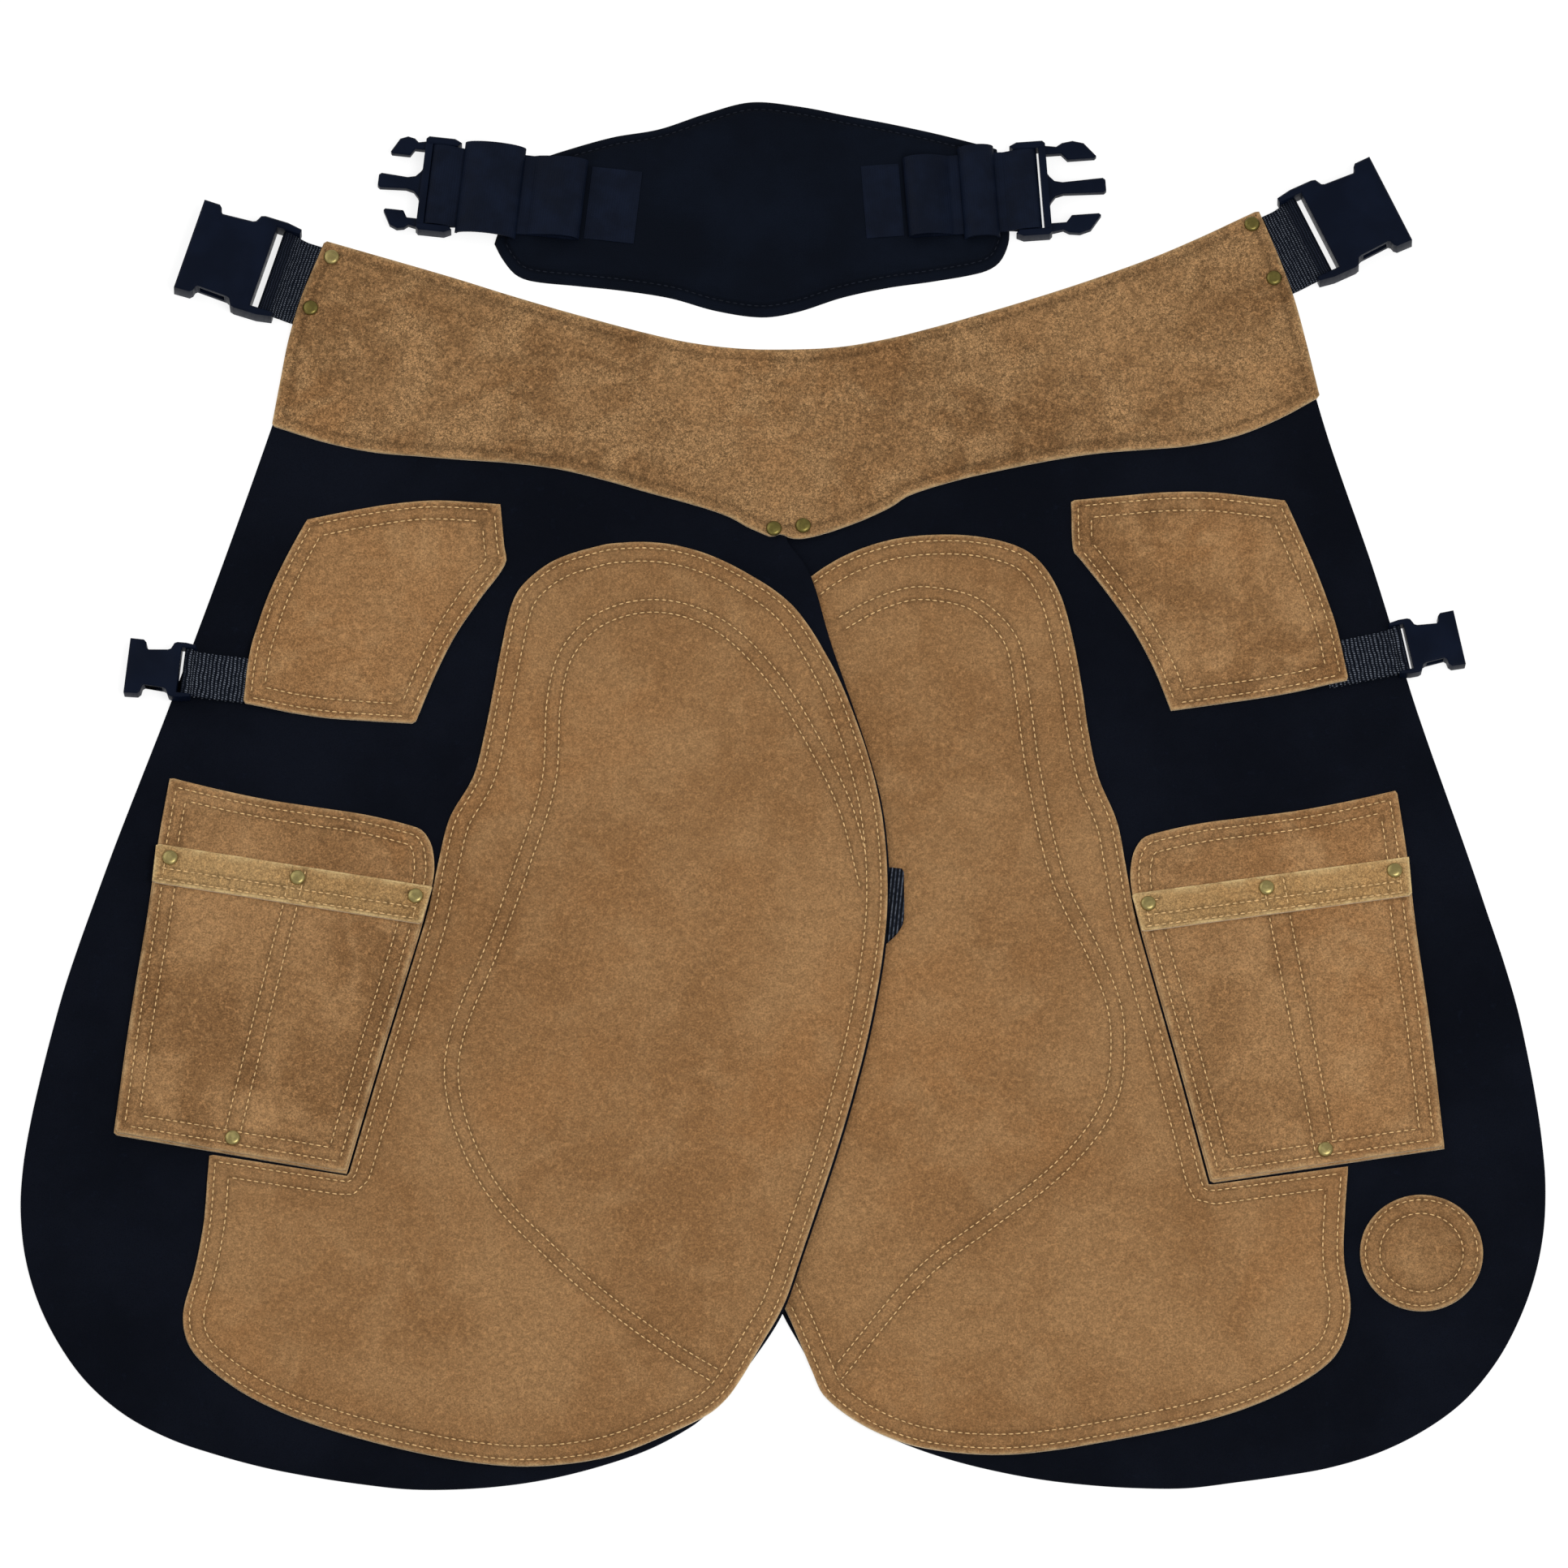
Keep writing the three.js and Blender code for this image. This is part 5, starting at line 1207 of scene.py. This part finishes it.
class APRON_OT_rivets(PieceOperator, bpy.types.Operator):
    """Domed brass rivet caps"""

    bl_idname = "apron.rivets"
    bl_label = "Rivet caps"

    def make(self, context):
        profile = (
            (0.0, 1.0), (0.3, 0.985), (0.55, 0.94), (0.74, 0.84), (0.86, 0.68), (0.94, 0.46),
            (0.985, 0.24), (1.0, 0.10), (0.985, -0.05), (0.95, -0.30),
        )
        for node in sorted(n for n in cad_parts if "_rivet_" in n):
            low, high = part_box(node)
            x, y = (low[0] + high[0]) / 2, (low[1] + high[1]) / 2
            radius, height = (high[0] - low[0]) / 2, high[2] - low[2]
            bm = bmesh.new()
            points = [
                bm.verts.new((x + r * radius, y, low[2] + z * height)) for r, z in profile
            ]
            edges = [bm.edges.new(pair) for pair in zip(points, points[1:])]
            bmesh.ops.spin(
                bm, geom=points + edges, cent=(x, y, 0), axis=(0, 0, 1), angle=math.tau,
                steps=28, use_merge=True, use_duplicate=False,
            )
            bmesh.ops.remove_doubles(bm, verts=bm.verts, dist=1e-6)
            rim = [e for e in bm.edges if e.is_boundary]
            bmesh.ops.holes_fill(bm, edges=rim)
            bmesh.ops.recalc_face_normals(bm, faces=bm.faces)
            dull = node.startswith("yoke") and not node.endswith("left_upper")
            finish = "dull_brass" if dull else "rivet_brass"
            from_bmesh(bm, f"cap_{node}", (node,), [finish], 50)


class APRON_OT_elastic(PieceOperator, bpy.types.Operator):
    """Ribbed elastic loop under the left leg's inner edge"""

    bl_idname = "apron.elastic"
    bl_label = "Elastic loop"

    def make(self, context):
        pad = made("knee_pad_right")
        loop = resampled(cad_outline("elastic_loop"), 0.0015, closed=True)

        def over_pad(points, from_edge, from_seam):
            puff = pad.top(points) - pad.ground.at(points) - pad.thickness
            cord = 0.00022 * np.cos(math.tau * points[:, 0] / CORD_PITCH)
            return np.maximum(puff, 0) + cord * smooth_step(from_edge / 0.0012)

        sheet = Sheet("elastic_loop", 0.0019, loop=loop, edge=0.0006, seed=65, extra=over_pad)
        piece = sheet.piece("elastic_web", ["elastic"], step=0.0008, slot="webbing")
        laid(sheet)


def strap_spot(across, down, turn):
    return spot(across, down), math.radians(turn)


def wrapped_path(reach, tuck, bar_radius, bar_height, start, open_x, low_open, high_open,
                 thickness):
    """Path of a strap: in from its tucked end, over the bar, and back underneath."""
    radius = bar_radius + 0.0004 + thickness / 2
    half = thickness / 2
    path = [(-reach - tuck, start + 3 * half), (-reach + 0.001, start + 3 * half),
            (open_x, high_open - half)]
    for step in range(9):
        angle = math.radians(100 - step * 25)
        path.append((radius * math.cos(angle), bar_height + radius * math.sin(angle)))
    path += [(open_x, low_open + half), (-reach + 0.001, start + half),
             (-reach - tuck, start + half)]
    return path


# Where each strap starts, in shares of the half width and of the length, and its turn in degrees
STRAP_SPOTS = {
    "waist": {"left": (-0.6275, 0.059, 162.0), "right": (0.6532, 0.0345, 25.5)},
    "leg": {"left": (-0.7115, 0.3707, 173.3), "right": (0.74, 0.3565, 12.0)},
    "belt": {"left": (-0.452, -0.017, 173.5), "right": (0.3235, -0.0139, 4.3)},
}
# How each strap goes round its buckle's bar, its cut size and its weave, in metres
WRAPS = {
    "waist": {
        "path": {
            "reach": 0.019, "tuck": 0.018, "bar_radius": 0.003, "bar_height": 0.00585,
            "start": GAP, "open_x": -0.019 * 0.55, "low_open": GAP + 0.0002,
            "high_open": GAP + 0.0033,
        },
        "flat": (0.048, 0.085),
        "weave": {"finish": "waist_webbing", "ribs": 0.00006, "flat_and_shaded_from": -0.006},
    },
    "leg": {
        "path": {
            "reach": 0.031, "tuck": 0.012, "bar_radius": 0.0015, "bar_height": 0.00667,
            "start": OVERLAY, "open_x": -0.0045, "low_open": OVERLAY + 0.0004,
            "high_open": OVERLAY + 0.0031,
        },
        "flat": (0.026, 0.092),
        "weave": {"finish": "strap_webbing", "ribs": 0.00014, "flat_and_shaded_from": -0.001},
    },
}


class APRON_OT_straps(PieceOperator, bpy.types.Operator):
    """Waist and leg straps, each wrapped round its buckle's bar"""

    bl_idname = "apron.straps"
    bl_label = "Waist and leg straps"

    def make(self, context):
        for side in SIDES:
            for kind, wrap in WRAPS.items():
                (x, y), turn = strap_spot(*STRAP_SPOTS[kind][side])
                reach, flat = wrap["path"]["reach"], wrap["flat"]
                bar = (x + reach * math.cos(turn), y + reach * math.sin(turn))
                piece = web_strip(f"{kind}_web_{side}", (f"{kind}_strap_{side}",),
                                  wrapped_path(thickness=STRAP, **wrap["path"]), flat[0], STRAP,
                                  bar, turn, **wrap["weave"])


class APRON_OT_buckles(PieceOperator, bpy.types.Operator):
    """Moulded side-release buckles with soft edges"""

    bl_idname = "apron.buckles"
    bl_label = "Buckles"

    def make(self, context):
        # How round each kind of buckle is at its edges
        radii = {"waist": 0.0009, "leg": 0.0006, "belt": 0.0007}
        for kind, radius in radii.items():
            for side in SIDES:
                node = f"{kind}_buckle_{side}"
                bm = cad_mesh(node)
                bmesh.ops.dissolve_limit(
                    bm, angle_limit=math.radians(1.5), verts=bm.verts, edges=bm.edges
                )
                edges = [e for e in bm.edges if e.is_manifold and e.calc_face_angle(0) > 0.5]
                bmesh.ops.bevel(
                    bm, geom=edges, offset=radius, segments=3, profile=0.5, affect="EDGES",
                    material=-1, clamp_overlap=True,
                )
                from_bmesh(bm, f"{kind}_clip_{side}", (node,), ["buckle_plastic"], 35)


class APRON_OT_belt(PieceOperator, bpy.types.Operator):
    """Padded back belt with its rolled edge"""

    bl_idname = "apron.belt"
    bl_label = "Back belt"

    def make(self, context):
        seam_inset = 0.0055
        rows = rows_inside(outline("back_belt"), seam_inset)

        def padding(points, from_edge, from_seam):
            rise = 0.0027 * smooth_step(from_edge / 0.010)
            return rise + 0.0003 * smooth_step((from_edge - seam_inset) / 0.02)

        sheet = Sheet("back_belt", 0.0030, rows=rows, groove=0.0009, waves=0.00015,
                      seed=71, edge=0.0022, wave=(0.10, 0.04), extra=padding)
        piece = sheet.piece("belt_padding", ["belt_cover"], step=0.0050, slot="belt_cloth")
        stitched("belt_stitches", rows, sheet.top, "dark_thread")


class APRON_OT_belt_webbing(PieceOperator, bpy.types.Operator):
    """Belt straps with their keepers and end patches"""

    bl_idname = "apron.belt_webbing"
    bl_label = "Belt webbing"

    def make(self, context):
        web = "belt_webbing"
        # Lengths along each strap: gap after the bar, keeper, folded end and end patch
        layout = {"left": (0.001, 0.0355, 0.035, 0.028), "right": (0.0084, 0.0215, 0.0305, 0.021)}
        # How far each strap's turn round the bar is moved outward
        round_bar = {"left": 0.0024, "right": 0.0003}
        # Height above the floor at which the webbing lies on the padding
        top = 0.0063
        before_gap = 0.0086
        width, keeper_width, patch_width = 0.047, 0.054, 0.043
        for side in SIDES:
            at, turn = strap_spot(*STRAP_SPOTS["belt"][side])
            gap, keeper, fold, patch = layout[side]
            keeper_to = before_gap + gap + keeper
            fold_to = keeper_to + fold
            path = [
                (-fold_to + 0.0001, top + 0.0024), (-fold_to + 0.0014, top + 0.0050),
                (-fold_to + 0.005, top + 0.0070), (-fold_to + 0.011, top + 0.0076),
                (-fold_to + 0.017, top + 0.0066), (-keeper_to - 0.008, top + 0.0040),
                (-keeper_to - 0.002, top + 0.0013),
                (-0.0150, top + 0.0013),
                (-0.0105, 0.0088), (-0.0055, 0.0103), (0.0, 0.0108), (0.0038, 0.0102),
                (0.0058, 0.0082), (0.0062, 0.0056), (0.0052, 0.0030), (0.0024, 0.0014),
                (-0.0010, 0.0014), (-0.0050, 0.0030), (-0.0100, 0.0056),
                (-0.0160, top + 0.0004), (-keeper_to, top + 0.0004),
                (-fold_to + 0.012, top + 0.0004), (-fold_to + 0.003, top + 0.0005),
            ]
            path = [(x + round_bar[side] if x > -0.012 else x, z) for x, z in path]
            strap = web_strip(f"belt_web_{side}", (f"belt_strap_{side}",), path, width, 0.0008,
                              at, turn, web, ribs=0.00003, closed=True)
            middle = -keeper_to + keeper / 2
            arch = [
                (middle + keeper / 2 * t, top + 0.0018 + 0.0070 * math.sqrt(max(1 - t * t, 0)))
                for t in (-1, -0.98, -0.93, -0.85, -0.7, -0.4, 0, 0.4, 0.7, 0.85, 0.93, 0.98, 1)
            ]
            loop = web_strip(f"keeper_web_{side}", (f"belt_keeper_{side}",), arch, keeper_width,
                             0.0014, at, turn, web, ribs=0.00003)
            start = fold_to + 0.002
            flat = [(-start - patch, top + 0.0008), (-start - patch / 2, top + 0.0011),
                    (-start, top + 0.0008)]
            tab = web_strip(f"patch_web_{side}", (f"belt_patch_{side}",), flat, patch_width,
                            0.0016, at, turn, web, ribs=0.00005)


# The floor, just under the part, and the light of the studio
FLOOR_HALF_SIZE = 6.0
FLOOR_DROP = 0.0002
SKY_STRENGTH = 0.62
# Each lamp's name, place and size in metres, and its power in watts
LAMPS = (
    ("key_light", (0.9, -0.8, 2.3), 1.3, 26.5),
    ("fill_light", (-1.6, 1.0, 1.6), 1.8, 9),
)

# The photo's view: how high and how far off the camera stands, what it aims at and how wide it sees
VIEW_ELEVATION = math.radians(70)
VIEW_DISTANCE = 24.0
VIEW_AIM = (0.0005, 0.0048, 0.0)
VIEW_WIDTH = 0.8694
SENSOR = 36


class APRON_OT_stage(PieceOperator, bpy.types.Operator):
    """Plain pale floor, soft studio light and the camera"""

    bl_idname = "apron.stage"
    bl_label = "Stage"

    def make(self, context):
        scene = context.scene
        bm = bmesh.new()
        bmesh.ops.create_grid(bm, x_segments=1, y_segments=1, size=FLOOR_HALF_SIZE)
        bmesh.ops.translate(bm, verts=bm.verts, vec=(0, 0, -FLOOR_DROP))
        mesh = bpy.data.meshes.new("floor")
        bm.to_mesh(mesh)
        bm.free()
        mesh.materials.append(finish_for("pale_floor"))
        floor = bpy.data.objects.new("floor", mesh)
        scene.collection.objects.link(floor)

        world = bpy.data.worlds.new("studio")
        world.use_nodes = True
        sky = world.node_tree.nodes["Background"].inputs
        sky["Color"].default_value = (1, 1, 1, 1)
        sky["Strength"].default_value = SKY_STRENGTH
        scene.world = world
        for name, where, size, power in LAMPS:
            lamp = bpy.data.lights.new(name, "AREA")
            lamp.size = size
            lamp.energy = power
            rig = bpy.data.objects.new(name, lamp)
            rig.location = where
            rig.rotation_euler = (-Vector(where)).to_track_quat("-Z", "Y").to_euler()
            scene.collection.objects.link(rig)

        camera = bpy.data.cameras.new("camera")
        camera.sensor_width = SENSOR
        camera.lens = SENSOR * VIEW_DISTANCE / VIEW_WIDTH
        camera.clip_end = 100
        eye = bpy.data.objects.new("camera", camera)
        back = Vector((0, -math.cos(VIEW_ELEVATION), math.sin(VIEW_ELEVATION)))
        eye.location = Vector(VIEW_AIM) + back * VIEW_DISTANCE
        eye.rotation_euler = (-back).to_track_quat("-Z", "Y").to_euler()
        scene.collection.objects.link(eye)
        scene.camera = eye
        scene.view_settings.view_transform = "Standard"


OPERATORS = (
    APRON_OT_stage,
    APRON_OT_leg_panels,
    APRON_OT_yoke,
    APRON_OT_knee_pads,
    APRON_OT_strap_patches,
    APRON_OT_pockets,
    APRON_OT_pouch,
    APRON_OT_rivets,
    APRON_OT_elastic,
    APRON_OT_straps,
    APRON_OT_buckles,
    APRON_OT_belt,
    APRON_OT_belt_webbing,
)


class APRON_PT_panel(bpy.types.Panel):
    """Lists the pieces of the apron, its sizes and its colours"""

    bl_idname = "APRON_PT_panel"
    bl_label = "Blacksmith apron"
    bl_space_type = "VIEW_3D"
    bl_region_type = "UI"
    bl_category = "Apron"

    def draw(self, context):
        for group in (context.scene.apron_sizes, context.scene.apron_colours):
            box = self.layout.box()
            for key in group.bl_rna.properties.keys():
                if key not in {"rna_type", "name"}:
                    box.prop(group, key)
        for operator in OPERATORS:
            self.layout.operator(operator.bl_idname)


CLASSES = (ApronSizes, ApronColours, *OPERATORS, APRON_PT_panel)


def register():
    for cls in CLASSES:
        bpy.utils.register_class(cls)
    bpy.types.Scene.apron_sizes = PointerProperty(type=ApronSizes)
    bpy.types.Scene.apron_colours = PointerProperty(type=ApronColours)


def unregister():
    del bpy.types.Scene.apron_colours
    del bpy.types.Scene.apron_sizes
    for cls in reversed(CLASSES):
        bpy.utils.unregister_class(cls)


def main():
    register()
    for operator in OPERATORS:
        getattr(bpy.ops.apron, operator.bl_idname.split(".")[1])()


if __name__ == "__main__":
    main()
